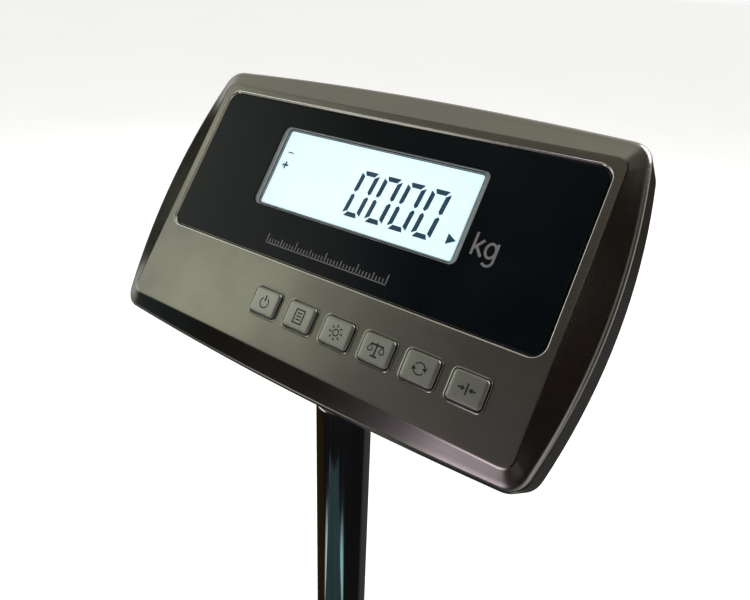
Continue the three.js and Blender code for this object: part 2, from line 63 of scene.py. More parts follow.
# ---------------------------------------------------------------- mesh helpers
class Mesh:
    """Loops of points joined by bands and planar fills, in mm."""

    def __init__(self):
        self.v, self.f, self.m = [], [], []

    def loop(self, pts):
        a = len(self.v)
        self.v += [tuple(p) for p in pts]
        return list(range(a, a + len(pts)))

    def band(self, a, b, mat=0, closed=True):
        n = len(a)
        for i in range(n if closed else n - 1):
            j = (i + 1) % n
            self.f.append((a[i], a[j], b[j], b[i]))
            self.m.append(mat)

    def bands(self, loops, mats=0):
        ids = [self.loop(p) for p in loops]
        for k in range(len(ids) - 1):
            self.band(ids[k], ids[k + 1], mats[k] if isinstance(mats, (list, tuple)) else mats)
        return ids

    def fill(self, outer, holes=(), mat=0, flip=False):
        rings = [outer, *holes]
        flat = [i for r in rings for i in r]
        for t in tessellate_polygon([[Vector(self.v[i]) for i in r] for r in rings]):
            a, b, c = (flat[k] for k in t)
            if a == b or b == c or a == c:
                continue
            self.f.append((a, b, c))
            self.m.append(mat)

    def ngon(self, ids, mat=0):
        self.f.append(tuple(ids))
        self.m.append(mat)

    def add(self, other, matrix=None, mat=None):
        a = len(self.v)
        self.v += [tuple(matrix @ Vector(p)) if matrix else p for p in other.v]
        self.f += [tuple(i + a for i in f) for f in other.f]
        self.m += [m if mat is None else mat for m in other.m]
        return self


SHARP = 32


def make(name, mesh, mats, matrix=HEADM, body="head", replaces=(), sharp=SHARP, bevel=0, seg=2, weighted=True, uv=None, subsurf=0, solid=True, bake=False):
    """A finished piece from a Mesh: normals out, smooth with sharp creases, riding on its body."""
    me = bpy.data.meshes.new(name)
    bm = bmesh.new()
    vs = [bm.verts.new(p) for p in mesh.v]
    for f, m in zip(mesh.f, mesh.m):
        try:
            face = bm.faces.new([vs[i] for i in f])
            face.material_index = m
            face.smooth = True
        except ValueError:
            pass
    bmesh.ops.remove_doubles(bm, verts=bm.verts, dist=0.0005)
    bmesh.ops.dissolve_degenerate(bm, edges=bm.edges, dist=0.0003)
    loose = [v for v in bm.verts if not v.link_faces]
    bmesh.ops.delete(bm, geom=loose, context="VERTS")
    if solid:
        bmesh.ops.recalc_face_normals(bm, faces=bm.faces)
    bm.transform(MM)
    bm.to_mesh(me)
    bm.free()
    me.set_sharp_from_angle(angle=math.radians(sharp))
    if uv:
        add_uv(me, uv)
    if bake:
        me.transform(matrix)
        matrix = WORLDM
    o = bpy.data.objects.new(name, me)
    bpy.context.scene.collection.objects.link(o)
    for m in mats if isinstance(mats, (list, tuple)) else [mats]:
        me.materials.append(m)
    o.matrix_world = matrix
    if bevel:
        b = o.modifiers.new("edge", "BEVEL")
        b.width, b.segments, b.limit_method, b.angle_limit = bevel / 1000, seg, "ANGLE", math.radians(28)
        b.harden_normals = False
        b.miter_outer = "MITER_ARC"
    if subsurf:
        s = o.modifiers.new("sub", "SUBSURF")
        s.levels = s.render_levels = subsurf
    if weighted:
        w = o.modifiers.new("normals", "WEIGHTED_NORMAL")
        w.keep_sharp = True
    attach(o, body)
    if replaces:
        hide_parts(*([replaces] if isinstance(replaces, str) else replaces))
    return o


def add_uv(me, axes):
    """Flat UVs in metres: axes says which coordinates are U and V."""
    layer = me.uv_layers.new(name="flat")
    a, b = axes
    for loop in me.loops:
        co = me.vertices[loop.vertex_index].co
        layer.data[loop.index].uv = (co[a] * 4, co[b] * 4)


def arc(cx, cy, r, a0, a1, n):
    return [(cx + r * math.cos(math.radians(a0 + (a1 - a0) * i / n)), cy + r * math.sin(math.radians(a0 + (a1 - a0) * i / n))) for i in range(n + 1)]


def rr(w, h, r, z=0.0, cx=0.0, cy=0.0, off=0.0, n=6):
    """Rounded rectangle loop, counter-clockwise, grown by off."""
    a, b, r = w / 2 + off, h / 2 + off, max(r + off, 0.02)
    pts = arc(cx + a - r, cy - b + r, r, -90, 0, n) + arc(cx + a - r, cy + b - r, r, 0, 90, n) + arc(cx - a + r, cy + b - r, r, 90, 180, n) + arc(cx - a + r, cy - b + r, r, 180, 270, n)
    return [(x, y, z) for x, y in pts]


def circ(r, z, n=32, cx=0.0, cy=0.0, ph=0.0):
    return [(cx + r * math.cos(2 * math.pi * i / n + ph), cy + r * math.sin(2 * math.pi * i / n + ph), z) for i in range(n)]


def hexa(af, z, cx=0.0, cy=0.0, ph=0.0, chamfer=0.0, n=6):
    """Hexagon loop across flats af with n points a side, eased towards a circle by chamfer."""
    R = af / math.sqrt(3)
    pts = []
    for s in range(6):
        a0, a1 = math.pi / 3 * s + ph, math.pi / 3 * (s + 1) + ph
        p0, p1 = Vector((math.cos(a0), math.sin(a0))) * R, Vector((math.cos(a1), math.sin(a1))) * R
        for i in range(n):
            p = p0.lerp(p1, i / n)
            lim = af / 2 * (1 + (1 - chamfer) * (2 / math.sqrt(3) - 1))
            if p.length > lim:
                p = p.normalized() * lim
            pts.append((cx + p.x, cy + p.y, z))
    return pts


def lathe(profile, n=48, mats=0):
    """Profile of (r, z), bottom to top or round; r 0 closes on the axis."""
    m = Mesh()
    rings = []
    for r, z in profile:
        rings.append([m.loop([(0, 0, z)])[0]] * n if r < 1e-6 else m.loop(circ(r, z, n)))
    for k in range(len(rings) - 1):
        mm = mats[k] if isinstance(mats, (list, tuple)) else mats
        a, b = rings[k], rings[k + 1]
        for i in range(n):
            j = (i + 1) % n
            q = [a[i], a[j], b[j], b[i]]
            q = [x for t, x in enumerate(q) if x not in q[:t]]
            if len(q) > 2:
                m.f.append(tuple(q))
                m.m.append(mm)
    return m


def outline(rx, sx, yt, yb, sy, cut, z=0.0, inset=0.0, en=18, cn=10):
    X, T, B = rx - inset, yt - inset, yb + inset
    xc, tc, bc = X - sx, T - sy, B + sy
    ym, hy, c = (tc + bc) / 2, (tc - bc) / 2, cut
    side = lambda y: X - sx * ((y - ym) / hy) ** 2
    top = lambda x: T - sy * (x / xc) ** 2
    bot = lambda x: B + sy * (x / xc) ** 2
    pts = []

    def bez(a, b, d):
        for i in range(1, cn):
            t = i / cn
            u = 1 - t
            pts.append((u * u * a[0] + 2 * u * t * b[0] + t * t * d[0], u * u * a[1] + 2 * u * t * b[1] + t * t * d[1], z))

    def run(f):
        for i in range(en + 1):
            x, y = f(i / en)
            pts.append((x, y, z))

    L = lambda a, b, t: a + (b - a) * t
    run(lambda t: (side(L(bc + c, tc - c, t)), L(bc + c, tc - c, t)))
    bez((side(tc - c), tc - c), (xc, tc), (xc - c, top(xc - c)))
    run(lambda t: (L(xc - c, -xc + c, t), top(L(xc - c, -xc + c, t))))
    bez((-xc + c, top(xc - c)), (-xc, tc), (-side(tc - c), tc - c))
    run(lambda t: (-side(L(tc - c, bc + c, t)), L(tc - c, bc + c, t)))
    bez((-side(bc + c), bc + c), (-xc, bc), (-xc + c, bot(xc - c)))
    run(lambda t: (L(-xc + c, xc - c, t), bot(L(-xc + c, xc - c, t))))
    bez((xc - c, bot(xc - c)), (xc, bc), (side(bc + c), bc + c))
    return pts


RIM_CUT, PLAT_CUT = 8.5, 6.5
rim = lambda inset, z, cut=None: outline(RX, SX, YT, YB, SY, cut or RIM_CUT, z, inset)
plat = lambda inset, z, cut=None: outline(PLX, 0, PLT, PLB, 0, cut or PLAT_CUT, z, inset)


def between(a, b, t, dz=0.0):
    return [(p[0] + (q[0] - p[0]) * t, p[1] + (q[1] - p[1]) * t, p[2] + (q[2] - p[2]) * t + dz) for p, q in zip(a, b)]


# ---------------------------------------------------------------- materials
def mat(name):
    m = bpy.data.materials.new(name)
    m.use_nodes = True
    nt = m.node_tree
    return m, nt, nt.nodes["Principled BSDF"]


def node(nt, kind, **kw):
    n = nt.nodes.new(kind)
    for k, v in kw.items():
        if k == "inputs":
            for i, x in v.items():
                n.inputs[i].default_value = x
        else:
            setattr(n, k, v)
    return n


def coords(nt, scale=(1, 1, 1), rot=(0, 0, 0)):
    tc = node(nt, "ShaderNodeTexCoord")
    mp = node(nt, "ShaderNodeMapping")
    mp.inputs["Scale"].default_value = scale
    mp.inputs["Rotation"].default_value = rot
    nt.links.new(tc.outputs["Object"], mp.inputs["Vector"])
    return mp.outputs["Vector"]


def noise(nt, vec, scale, detail=3.0, rough=0.5, dist=0.0):
    n = node(nt, "ShaderNodeTexNoise", inputs={"Scale": scale, "Detail": detail, "Roughness": rough, "Distortion": dist})
    nt.links.new(vec, n.inputs["Vector"])
    return n.outputs["Fac"]


def ramp(nt, fac, stops):
    r = node(nt, "ShaderNodeValToRGB")
    e = r.color_ramp.elements
    e[0].position, e[0].color = stops[0][0], (*stops[0][1], 1)
    e[1].position, e[1].color = stops[-1][0], (*stops[-1][1], 1)
    for p, c in stops[1:-1]:
        x = e.new(p)
        x.color = (*c, 1)
    nt.links.new(fac, r.inputs["Fac"])
    return r.outputs["Color"]


def remap(nt, fac, lo, hi, a=0.3, b=0.7):
    r = node(nt, "ShaderNodeMapRange", inputs={"From Min": a, "From Max": b, "To Min": lo, "To Max": hi})
    nt.links.new(fac, r.inputs["Value"])
    return r.outputs["Result"]


def mixc(nt, fac, a, b, mode="MIX"):
    n = node(nt, "ShaderNodeMix", data_type="RGBA", blend_type=mode)
    if isinstance(fac, (int, float)):
        n.inputs[0].default_value = fac
    else:
        nt.links.new(fac, n.inputs[0])
    for s, x in ((6, a), (7, b)):
        if isinstance(x, tuple):
            n.inputs[s].default_value = (*x, 1)
        else:
            nt.links.new(x, n.inputs[s])
    return n.outputs[2]


def math_(nt, op, a, b):
    n = node(nt, "ShaderNodeMath", operation=op)
    for i, x in enumerate((a, b)):
        if isinstance(x, (int, float)):
            n.inputs[i].default_value = x
        else:
            nt.links.new(x, n.inputs[i])
    return n.outputs[0]


def bump(nt, bs, height, dist, strength=1.0, normal=None):
    b = node(nt, "ShaderNodeBump", inputs={"Strength": strength, "Distance": dist})
    nt.links.new(height, b.inputs["Height"])
    if normal is not None:
        nt.links.new(normal, b.inputs["Normal"])
    nt.links.new(b.outputs["Normal"], bs.inputs["Normal"])
    return b.outputs["Normal"]


def edge_mask(nt, size):
    """1 along convex edges, from the geometry's pointiness-free bevel normal difference."""
    bv = node(nt, "ShaderNodeBevel", samples=4)
    bv.inputs["Radius"].default_value = size
    geo = node(nt, "ShaderNodeNewGeometry")
    d = node(nt, "ShaderNodeVectorMath", operation="DOT_PRODUCT")
    nt.links.new(bv.outputs["Normal"], d.inputs[0])
    nt.links.new(geo.outputs["Normal"], d.inputs[1])
    return remap(nt, d.outputs["Value"], 1.0, 0.0, 0.85, 1.0)


def metal(name, base, dark=None, rough=(0.24, 0.38), along=(12, 1800, 1800), aniso=0.0, smudge=0.06, grain=0.000012, rot=(0, 0, 0), tint=None):
    """Brushed or drawn metal: long fine grain, soft smudges, colour drifting a little."""
    m, nt, bs = mat(name)
    bs.inputs["Metallic"].default_value = 1.0
    vec = coords(nt, along, rot)
    fine = noise(nt, vec, 1.0, 4.0, 0.65)
    coarse = noise(nt, coords(nt, tuple(a * 0.22 for a in along), rot), 1.0, 3.0, 0.6)
    cloud = noise(nt, coords(nt), 14.0, 3.0, 0.55)
    dark = dark or tuple(c * 0.8 for c in base)
    grainy = math_(nt, "ADD", math_(nt, "MULTIPLY", fine, 0.65), math_(nt, "MULTIPLY", coarse, 0.35))
    col = ramp(nt, grainy, [(0.28, dark), (0.5, base), (0.75, tuple(min(1, c * 1.12) for c in base))])
    if tint:
        col = mixc(nt, remap(nt, cloud, 0.0, 1.0, 0.35, 0.68), col, tint, "MIX")
    nt.links.new(col, bs.inputs["Base Color"])
    r = math_(nt, "ADD", remap(nt, grainy, rough[0], rough[1], 0.3, 0.72), remap(nt, cloud, -smudge, smudge, 0.3, 0.7))
    nt.links.new(r, bs.inputs["Roughness"])
    if aniso:
        bs.inputs["Anisotropic"].default_value = aniso
        t = node(nt, "ShaderNodeTangent", direction_type="UV_MAP", uv_map="flat")
        nt.links.new(t.outputs["Tangent"], bs.inputs["Tangent"])
    bump(nt, bs, grainy, grain)
    return m


def plastic(name, base, rough=(0.35, 0.5), spec=0.5, grain=0.00006, scale=900.0, drift=0.12, coat=0.0):
    """Moulded plastic: fine spark-eroded grain, small drift in colour and gloss."""
    m, nt, bs = mat(name)
    v = coords(nt)
    g = noise(nt, v, scale, 3.0, 0.6)
    c = noise(nt, v, 22.0, 2.0, 0.5)
    col = ramp(nt, c, [(0.3, tuple(x * (1 - drift) for x in base)), (0.7, tuple(min(1, x * (1 + drift)) for x in base))])
    nt.links.new(col, bs.inputs["Base Color"])
    nt.links.new(math_(nt, "ADD", remap(nt, g, rough[0], rough[1], 0.3, 0.7), remap(nt, c, -0.03, 0.03)), bs.inputs["Roughness"])
    bs.inputs["Specular IOR Level"].default_value = spec
    if coat:
        bs.inputs["Coat Weight"].default_value = coat
        bs.inputs["Coat Roughness"].default_value = 0.05
    bump(nt, bs, g, grain)
    return m


def rubber(name, base=(0.022, 0.022, 0.023), dust=0.25):
    m, nt, bs = mat(name)
    v = coords(nt)
    g = noise(nt, v, 1400.0, 3.0, 0.7)
    c = noise(nt, v, 9.0, 4.0, 0.6)
    f = noise(nt, v, 160.0, 4.0, 0.7)
    col = ramp(nt, c, [(0.3, tuple(x * 0.75 for x in base)), (0.72, tuple(x * 1.5 for x in base))])
    col = mixc(nt, remap(nt, f, 0.0, dust, 0.5, 0.8), col, (0.11, 0.105, 0.1))
    nt.links.new(col, bs.inputs["Base Color"])
    nt.links.new(remap(nt, g, 0.62, 0.85), bs.inputs["Roughness"])
    bs.inputs["Specular IOR Level"].default_value = 0.35
    bump(nt, bs, math_(nt, "ADD", g, math_(nt, "MULTIPLY", f, 0.7)), 0.00005)
    return m


def paint(name, base, rough=0.38, wear=True):
    """Powder coat: orange peel, colour drifting at random, rubbed edges."""
    m, nt, bs = mat(name)
    v = coords(nt)
    peel = noise(nt, v, 420.0, 2.0, 0.5)
    c = noise(nt, v, 16.0, 4.0, 0.6)
    col = ramp(nt, c, [(0.28, tuple(x * 0.82 for x in base)), (0.7, tuple(x * 1.2 for x in base))])
    if wear:
        e = math_(nt, "MULTIPLY", edge_mask(nt, 0.0009), remap(nt, noise(nt, v, 90.0, 4.0, 0.7), 0.0, 1.0, 0.5, 0.66))
        col = mixc(nt, math_(nt, "MULTIPLY", e, 0.5), col, (0.33, 0.33, 0.32))
    nt.links.new(col, bs.inputs["Base Color"])
    nt.links.new(remap(nt, peel, rough - 0.06, rough + 0.1), bs.inputs["Roughness"])
    bump(nt, bs, peel, 0.00012)
    return m


# the face's steel is coloured darker than the same stainless on the bevel and back: painted shade for the dim room it
# reflects
STEEL_FACE_PAINTED_SHADE = metal("steel_face_painted_shade", (0.241, 0.229, 0.195), (0.185, 0.175, 0.15), rough=(0.29, 0.37), along=(9, 2000, 2000), aniso=0.45, grain=0.0000018, smudge=0.03, tint=(0.176, 0.171, 0.155))
STEEL_EDGE = metal("steel_bevel", (0.40, 0.39, 0.35), (0.345, 0.336, 0.305), rough=(0.15, 0.20), along=(11, 1700, 1700), aniso=0.3, grain=0.0000015, smudge=0.025, tint=(0.375, 0.364, 0.335))
# the lip is the same steel, polished smoother; its much brighter colour is a painted highlight
STEEL_LIP_PAINTED_HIGHLIGHT = metal("steel_polished_lip_painted_highlight", (0.80, 0.79, 0.74), (0.68, 0.67, 0.64), rough=(0.13, 0.22), along=(300, 300, 300), grain=0.000002)
STEEL_BACK = metal("steel_back", (0.40, 0.395, 0.375), (0.29, 0.286, 0.272), rough=(0.30, 0.38), along=(9, 1300, 1300), aniso=0.4, grain=0.000004, smudge=0.03)
STEEL_PAN = metal("steel_pan", (0.52, 0.515, 0.50), (0.40, 0.395, 0.385), rough=(0.27, 0.36), along=(7, 7, 1500), aniso=0.0, smudge=0.02)
STEEL_KEY = metal("steel_key", (0.37, 0.375, 0.34), (0.30, 0.305, 0.275), rough=(0.36, 0.44), along=(1700, 60, 1700), grain=0.000002)
TUBE = metal("steel_tube_polished", (0.60, 0.605, 0.615), (0.52, 0.525, 0.535), rough=(0.045, 0.11), along=(1200, 1200, 2.5), grain=0.000002, smudge=0.015)
BRACKET = metal("steel_bracket", (0.46, 0.455, 0.44), (0.34, 0.336, 0.325), rough=(0.26, 0.40), along=(10, 1100, 1100))
ZINC = metal("zinc_plate", (0.56, 0.56, 0.545), (0.42, 0.42, 0.405), rough=(0.25, 0.42), along=(240, 240, 240), smudge=0.08, tint=(0.48, 0.49, 0.44))
BOLT = metal("bolt_steel", (0.60, 0.60, 0.60), (0.45, 0.45, 0.45), rough=(0.18, 0.32), along=(500, 500, 500))
ALU = metal("cell_aluminium", (0.66, 0.67, 0.69), (0.54, 0.55, 0.57), rough=(0.28, 0.42), along=(900, 12, 900))
BLACK_PLASTIC = plastic("black_plastic", (0.018, 0.0185, 0.020), rough=(0.36, 0.52))
LCD_GREY = plastic("lcd_frame_grey", (0.44, 0.485, 0.485), rough=(0.22, 0.34), grain=0.00002)
RUBBER = rubber("black_rubber")
MAT_RUBBER = rubber("mat_rubber", (0.011, 0.034, 0.040), dust=0.35)
PAINT = paint("frame_paint", (0.060, 0.067, 0.075))
SOCKET_PAINT = paint("socket_paint", (0.052, 0.058, 0.065), rough=0.42)
CIRCUIT = plastic("circuit_board", (0.03, 0.14, 0.07), rough=(0.3, 0.45), grain=0.00003, scale=300)
BATTERY = plastic("battery_wrap", (0.035, 0.10, 0.26), rough=(0.2, 0.35), grain=0.00003, coat=0.3)
# near-black walls inside the display frame's opening: painted shade where its inner steps lie in shadow
LCD_WALL_PAINTED_SHADE = plastic("lcd_frame_wall_painted_shade", (0.022, 0.026, 0.03), rough=(0.5, 0.65), grain=0.00001)
ICON = plastic("icon_ink", (0.010, 0.011, 0.012), rough=(0.45, 0.6), grain=0.00001)
PRINT_GREY = plastic("print_grey", (0.185, 0.18, 0.185), rough=(0.35, 0.5), grain=0.00001)


def panel_gloss():
    m, nt, bs = mat("panel_gloss_black")
    v = coords(nt)
    c = noise(nt, v, 18.0, 3.0, 0.5)
    nt.links.new(ramp(nt, c, [(0.3, (0.0030, 0.0044, 0.0056)), (0.7, (0.0052, 0.0078, 0.0096))]), bs.inputs["Base Color"])
    nt.links.new(remap(nt, noise(nt, v, 60.0, 4.0, 0.6), 0.035, 0.085), bs.inputs["Roughness"])
    bs.inputs["Specular IOR Level"].default_value = 0.10
    bump(nt, bs, noise(nt, v, 26.0, 2.0, 0.5), 0.00006)
    return m


def window_glass():
    m, nt, bs = mat("window_clear")
    bs.inputs["Base Color"].default_value = (0.96, 0.985, 0.99, 1)
    bs.inputs["Transmission Weight"].default_value = 1.0
    bs.inputs["IOR"].default_value = 1.12
    nt.links.new(remap(nt, noise(nt, coords(nt), 40.0, 3.0, 0.5), 0.0, 0.02), bs.inputs["Roughness"])
    return m


def lcd_lit():
    """Lit cell: even cool white, a little stronger towards its lamp side, with the cell's faint pixel-free mottling."""
    m, nt, bs = mat("lcd_lit")
    sep = node(nt, "ShaderNodeSeparateXYZ")
    nt.links.new(coords(nt), sep.inputs[0])
    fx = remap(nt, sep.outputs["X"], 0.0, 1.0, -0.064, 0.064)
    c = ramp(nt, fx, [(0.0, (0.69, 0.82, 0.90)), (0.18, (0.75, 0.89, 0.97)), (0.55, (0.78, 0.93, 1.0)), (1.0, (0.74, 0.94, 0.99))])
    c = mixc(nt, remap(nt, noise(nt, coords(nt), 35.0, 2.0, 0.5), 0.0, 0.25), c, (0.66, 0.86, 0.93))
    nt.links.new(c, bs.inputs["Base Color"])
    nt.links.new(c, bs.inputs["Emission Color"])
    bs.inputs["Emission Strength"].default_value = 0.74
    nt.links.new(remap(nt, noise(nt, coords(nt), 300.0, 2.0, 0.5), 0.15, 0.25), bs.inputs["Roughness"])
    return m


def lcd_ink():
    m, nt, bs = mat("lcd_segment")
    c = ramp(nt, noise(nt, coords(nt), 120.0, 2.0, 0.5), [(0.3, (0.020, 0.068, 0.135)), (0.7, (0.040, 0.110, 0.190))])
    nt.links.new(c, bs.inputs["Base Color"])
    nt.links.new(remap(nt, noise(nt, coords(nt), 300.0, 2.0, 0.5), 0.3, 0.45), bs.inputs["Roughness"])
    return m


PANEL, GLASS, LCD, LCD_INK = panel_gloss(), window_glass(), lcd_lit(), lcd_ink()
BACKLIGHT = plastic("backlight_diffuser", (0.82, 0.86, 0.88), rough=(0.5, 0.65), grain=0.00002, drift=0.03)
ROCKER = plastic("rocker_gloss", (0.012, 0.0125, 0.0135), rough=(0.22, 0.34), grain=0.00002)
KNOB = plastic("knob_grain", (0.016, 0.0165, 0.0175), rough=(0.42, 0.58), grain=0.00010, scale=1100)
MARK_WHITE = plastic("mark_white", (0.70, 0.70, 0.69), rough=(0.4, 0.55), grain=0.00001, drift=0.05)
POTTING = rubber("cell_potting_white", (0.55, 0.55, 0.53), dust=0.0)
ZINC_BOLT = metal("bolt_zinc", (0.60, 0.60, 0.585), (0.46, 0.46, 0.445), rough=(0.24, 0.40), along=(260, 260, 260), smudge=0.07, tint=(0.52, 0.53, 0.47))
DARK_BOLT = metal("bolt_blackened", (0.085, 0.083, 0.082), (0.05, 0.049, 0.048), rough=(0.32, 0.46), along=(320, 320, 320))


def clear(name, colour, ior, rough=0.02, density=None):
    m, nt, bs = mat(name)
    c = ramp(nt, noise(nt, coords(nt), 60.0, 2.0, 0.5), [(0.3, colour), (0.7, tuple(min(1, x * 1.03) for x in colour))])
    nt.links.new(c, bs.inputs["Base Color"])
    bs.inputs["Transmission Weight"].default_value = 1.0
    bs.inputs["IOR"].default_value = ior
    nt.links.new(remap(nt, noise(nt, coords(nt), 400.0, 2.0, 0.5), rough * 0.5, rough * 1.5), bs.inputs["Roughness"])
    return m


LENS, BUBBLE = clear("level_lens", (0.97, 0.985, 0.97), 1.25), clear("level_bubble", (0.93, 1.0, 0.80), 1.15)
FLUID = plastic("level_fluid", (0.42, 0.72, 0.10), rough=(0.06, 0.12), grain=0.0, drift=0.10)

# ---------------------------------------------------------------- camera
P0 = Vector((0, HEAD_Y, HEAD_Z)) * 0.001
cam_data = bpy.data.cameras.new("camera")
cam = bpy.data.objects.new("camera", cam_data)
bpy.context.scene.collection.objects.link(cam)
right = Vector((0.8124074, 0.5811127, 0.0479810)).normalized()
down = Vector((0.2826852, -0.3205533, -0.9040656))
ahead = Vector((-0.5099835, 0.7480332, -0.4246919)).normalized()
down = ahead.cross(right).normalized()
right = down.cross(ahead).normalized()
rot = Matrix((right, -down, -ahead)).transposed()
cam.matrix_world = Matrix.Translation(P0 + Vector((188.1708, -236.7674, 101.4299)) * 0.001) @ rot.to_4x4()
cam_data.sensor_width = 36
cam_data.lens = 634.422 / 750 * 36
cam_data.shift_x = (375 - 396.31) / 750
cam_data.shift_y = (273.451 - 300) / 750
cam_data.clip_start, cam_data.clip_end = 0.01, 60
bpy.context.scene.camera = cam

# ---------------------------------------------------------------- head: front cover
def key_x(i):
    return KEY_X0 + i * KEY_P


def front_cover():
    m = Mesh()
    RZ1, RZ2 = -2.6, -3.4
    p_edge = plat(-0.9, -0.16)
    outer = [rim(0.55, SEAM), rim(0.30, SEAM + 0.25), rim(0.05, -8), rim(0.0, -5.2), rim(0.22, RZ2 - 0.5), rim(0.8, RZ2 + 0.25), rim(1.7, RZ1)]
    slope0 = rim(2.2, RZ1 + 0.08)
    slope = [between(slope0, p_edge, t) for t in (0.0, 0.33, 0.66, 0.95)]
    top = [p_edge, plat(-0.35, -0.05), plat(0.2, 0.0), plat(0.9, 0.0)]
    ids = [m.loop(p) for p in outer + slope + top]
    mats_ = [1] * 6 + [1] * 5 + [1, 0, 0]
    for k in range(len(ids) - 1):
        m.band(ids[k], ids[k + 1], mats_[k] if k < len(mats_) else 0)
    land = ids[-1]
    # recess lip, polished (smoother), and coloured far brighter than the rest of the same steel: a painted highlight
    N = 10
    lip = [rr(PANEL_W, PANEL_H, PANEL_R, z, off=o, n=N) for o, z in ((2.0, 0.0), (1.35, 0.0), (1.15, -0.03), (0.95, -0.12), (0.32, -0.86), (0.14, -1.0), (0.05, -1.2), (0.0, -1.8))]
    li = m.bands(lip, [0, 2, 2, 2, 2, 2, 2])
    floor_in = m.loop(rr(134, 52, 3, -1.8, 0, WIN_Y, n=6))
    m.fill(li[-1], [floor_in])
    # key holes with a small raised lip
    key_out = []
    key_deep = []
    for i in range(6):
        L = [rr(KEY_W, KEY_H, 2.4, z, key_x(i), KEY_Y, off=o, n=6) for o, z in ((1.7, 0.0), (1.0, 0.0), (0.72, 0.07), (0.50, 0.16), (0.30, 0.17), (0.10, 0.06), (0.0, -0.12), (0.0, -2.0))]
        kid = m.bands(L, [0, 0, 1, 1, 1, 1, 1])
        key_out.append(kid[0])
        key_deep.append(kid[-1])
    m.fill(land, [li[0], *key_out])
    # inside
    inner = [rim(0.55, SEAM), rim(2.0, SEAM), rim(1.9, -7), rim(3.2, -4.9), plat(0.6, -2.0)]
    ii = [ids[0]] + [m.loop(p) for p in inner[1:]]
    for k in range(len(ii) - 1):
        m.band(ii[k], ii[k + 1], 1)
    tray = m.bands([rr(PANEL_W, PANEL_H, PANEL_R, z, off=1.8, n=N) for z in (-2.0, -3.3)], 1)
    m.fill(ii[-1], [tray[0], *key_deep], 1)
    hole_low = m.loop(rr(134, 52, 3, -3.3, 0, WIN_Y, n=6))
    m.fill(tray[1], [hole_low], 1)
    m.band(floor_in, hole_low, 1)
    return m


# UV: U across the grain, so that the highlight stretches across the brushing
make("head_front_cover", front_cover(), [STEEL_FACE_PAINTED_SHADE, STEEL_EDGE, STEEL_LIP_PAINTED_HIGHLIGHT], replaces="front_cover", uv=(1, 0), sharp=42, bake=True)

# ---------------------------------------------------------------- head: rear cover, gasket
def slope_y(z):
    return -88.6 - 0.75 * (z + 27.4)


def rear_cover():
    m = Mesh()
    box_ = lambda rx, sx, yt, yb, z, cut=15.0: outline(rx, sx, yt, yb, 0, cut, z)
    def ring(z, inset=0.0):
        t = (-26.9 - z) / (-26.9 + 61.8)
        return outline(124.9 - 11.9 * t - inset, 8 - 3 * t, 49.4 - 8.4 * t - inset, slope_y(z) + inset, 0, 15.0, z)
    outer = [rim(2.6, -25.9), rim(1.4, -25.9), rim(1.05, -26.2), rim(1.0, -27.4), rim(1.25, -27.8), rim(1.7, -27.9)]
    foot = ring(-28.0, -1.6)
    foot = [(x, y, -27.9) for x, y, z in foot]
    rest = [ring(-28.2, -0.7), ring(-28.9, -0.1), ring(-30.0), ring(-45), ring(-60.6), ring(-62.2, 0.5), ring(-63.2, 1.5), [(x, y, -63.85) for x, y, z in ring(-63.2, 3.0)], [(x, y, BACK) for x, y, z in ring(-63.2, 4.6)], [(x, y, BACK) for x, y, z in ring(-63.2, 9)]]
    ids = [m.loop(p) for p in outer + [foot] + rest]
    for k in range(len(ids) - 1):
        m.band(ids[k], ids[k + 1])
    m.ngon(ids[-1])
    inner = [rim(11.2, -25.9)] + [ring(z, 1.6) for z in (-27.0, -45.0, -60.0)] + [[(x, y, -62.4) for x, y, z in ring(-60.0, 3.5)]]
    jj = [m.loop(p) for p in inner]
    m.band(ids[0], jj[0])
    for k in range(len(jj) - 1):
        m.band(jj[k], jj[k + 1])
    m.ngon(jj[-1])
    return m


make("head_rear_cover", rear_cover(), [STEEL_BACK], replaces="rear_cover", uv=(1, 0), sharp=35, bake=True)


def gasket():
    m = Mesh()
    L = [rim(1.5, -25.9), rim(1.0, -25.8), rim(0.75, -25.2), rim(1.0, -24.6), rim(1.5, -24.5), rim(3.4, -24.5), rim(3.4, -25.9)]
    ids = [m.loop(p) for p in L]
    for k in range(len(ids)):
        m.band(ids[k], ids[(k + 1) % len(ids)])
    return m


make("head_gasket", gasket(), [RUBBER], replaces="cover_gasket")

# ---------------------------------------------------------------- display
def panel():
    m = Mesh()
    N = 10
    out = [rr(PANEL_W, PANEL_H, PANEL_R, z, off=o, n=N) for o, z in ((-0.30, -1.5), (-0.28, -0.85), (-0.34, -0.66), (-0.50, -0.56), (-0.85, -0.55), (-1.6, -0.55))]
    win = [rr(WIN_W, WIN_H, WIN_R, z, 0, WIN_Y, off=o, n=8) for o, z in ((1.2, -0.55), (0.45, -0.55), (0.2, -0.58), (0.06, -0.68), (0.0, -0.85), (0.0, -1.5))]
    a, b = m.bands(out), m.bands(win)
    m.fill(a[-1], [b[0]])
    m.fill(a[0], [b[-1]])
    return m


make("display_panel_gloss", panel(), [PANEL], replaces="display_panel", sharp=50)


def window():
    m = Mesh()
    L = m.bands([rr(WIN_W, WIN_H, WIN_R, z, 0, WIN_Y, off=o, n=8) for o, z in ((-0.35, -1.5), (-0.3, -1.4), (-0.3, -0.86), (-0.36, -0.74), (-0.5, -0.7))])
    m.ngon(L[0])
    m.ngon(L[-1])
    return m


make("display_window_clear", window(), [GLASS], replaces="display_window", sharp=50)


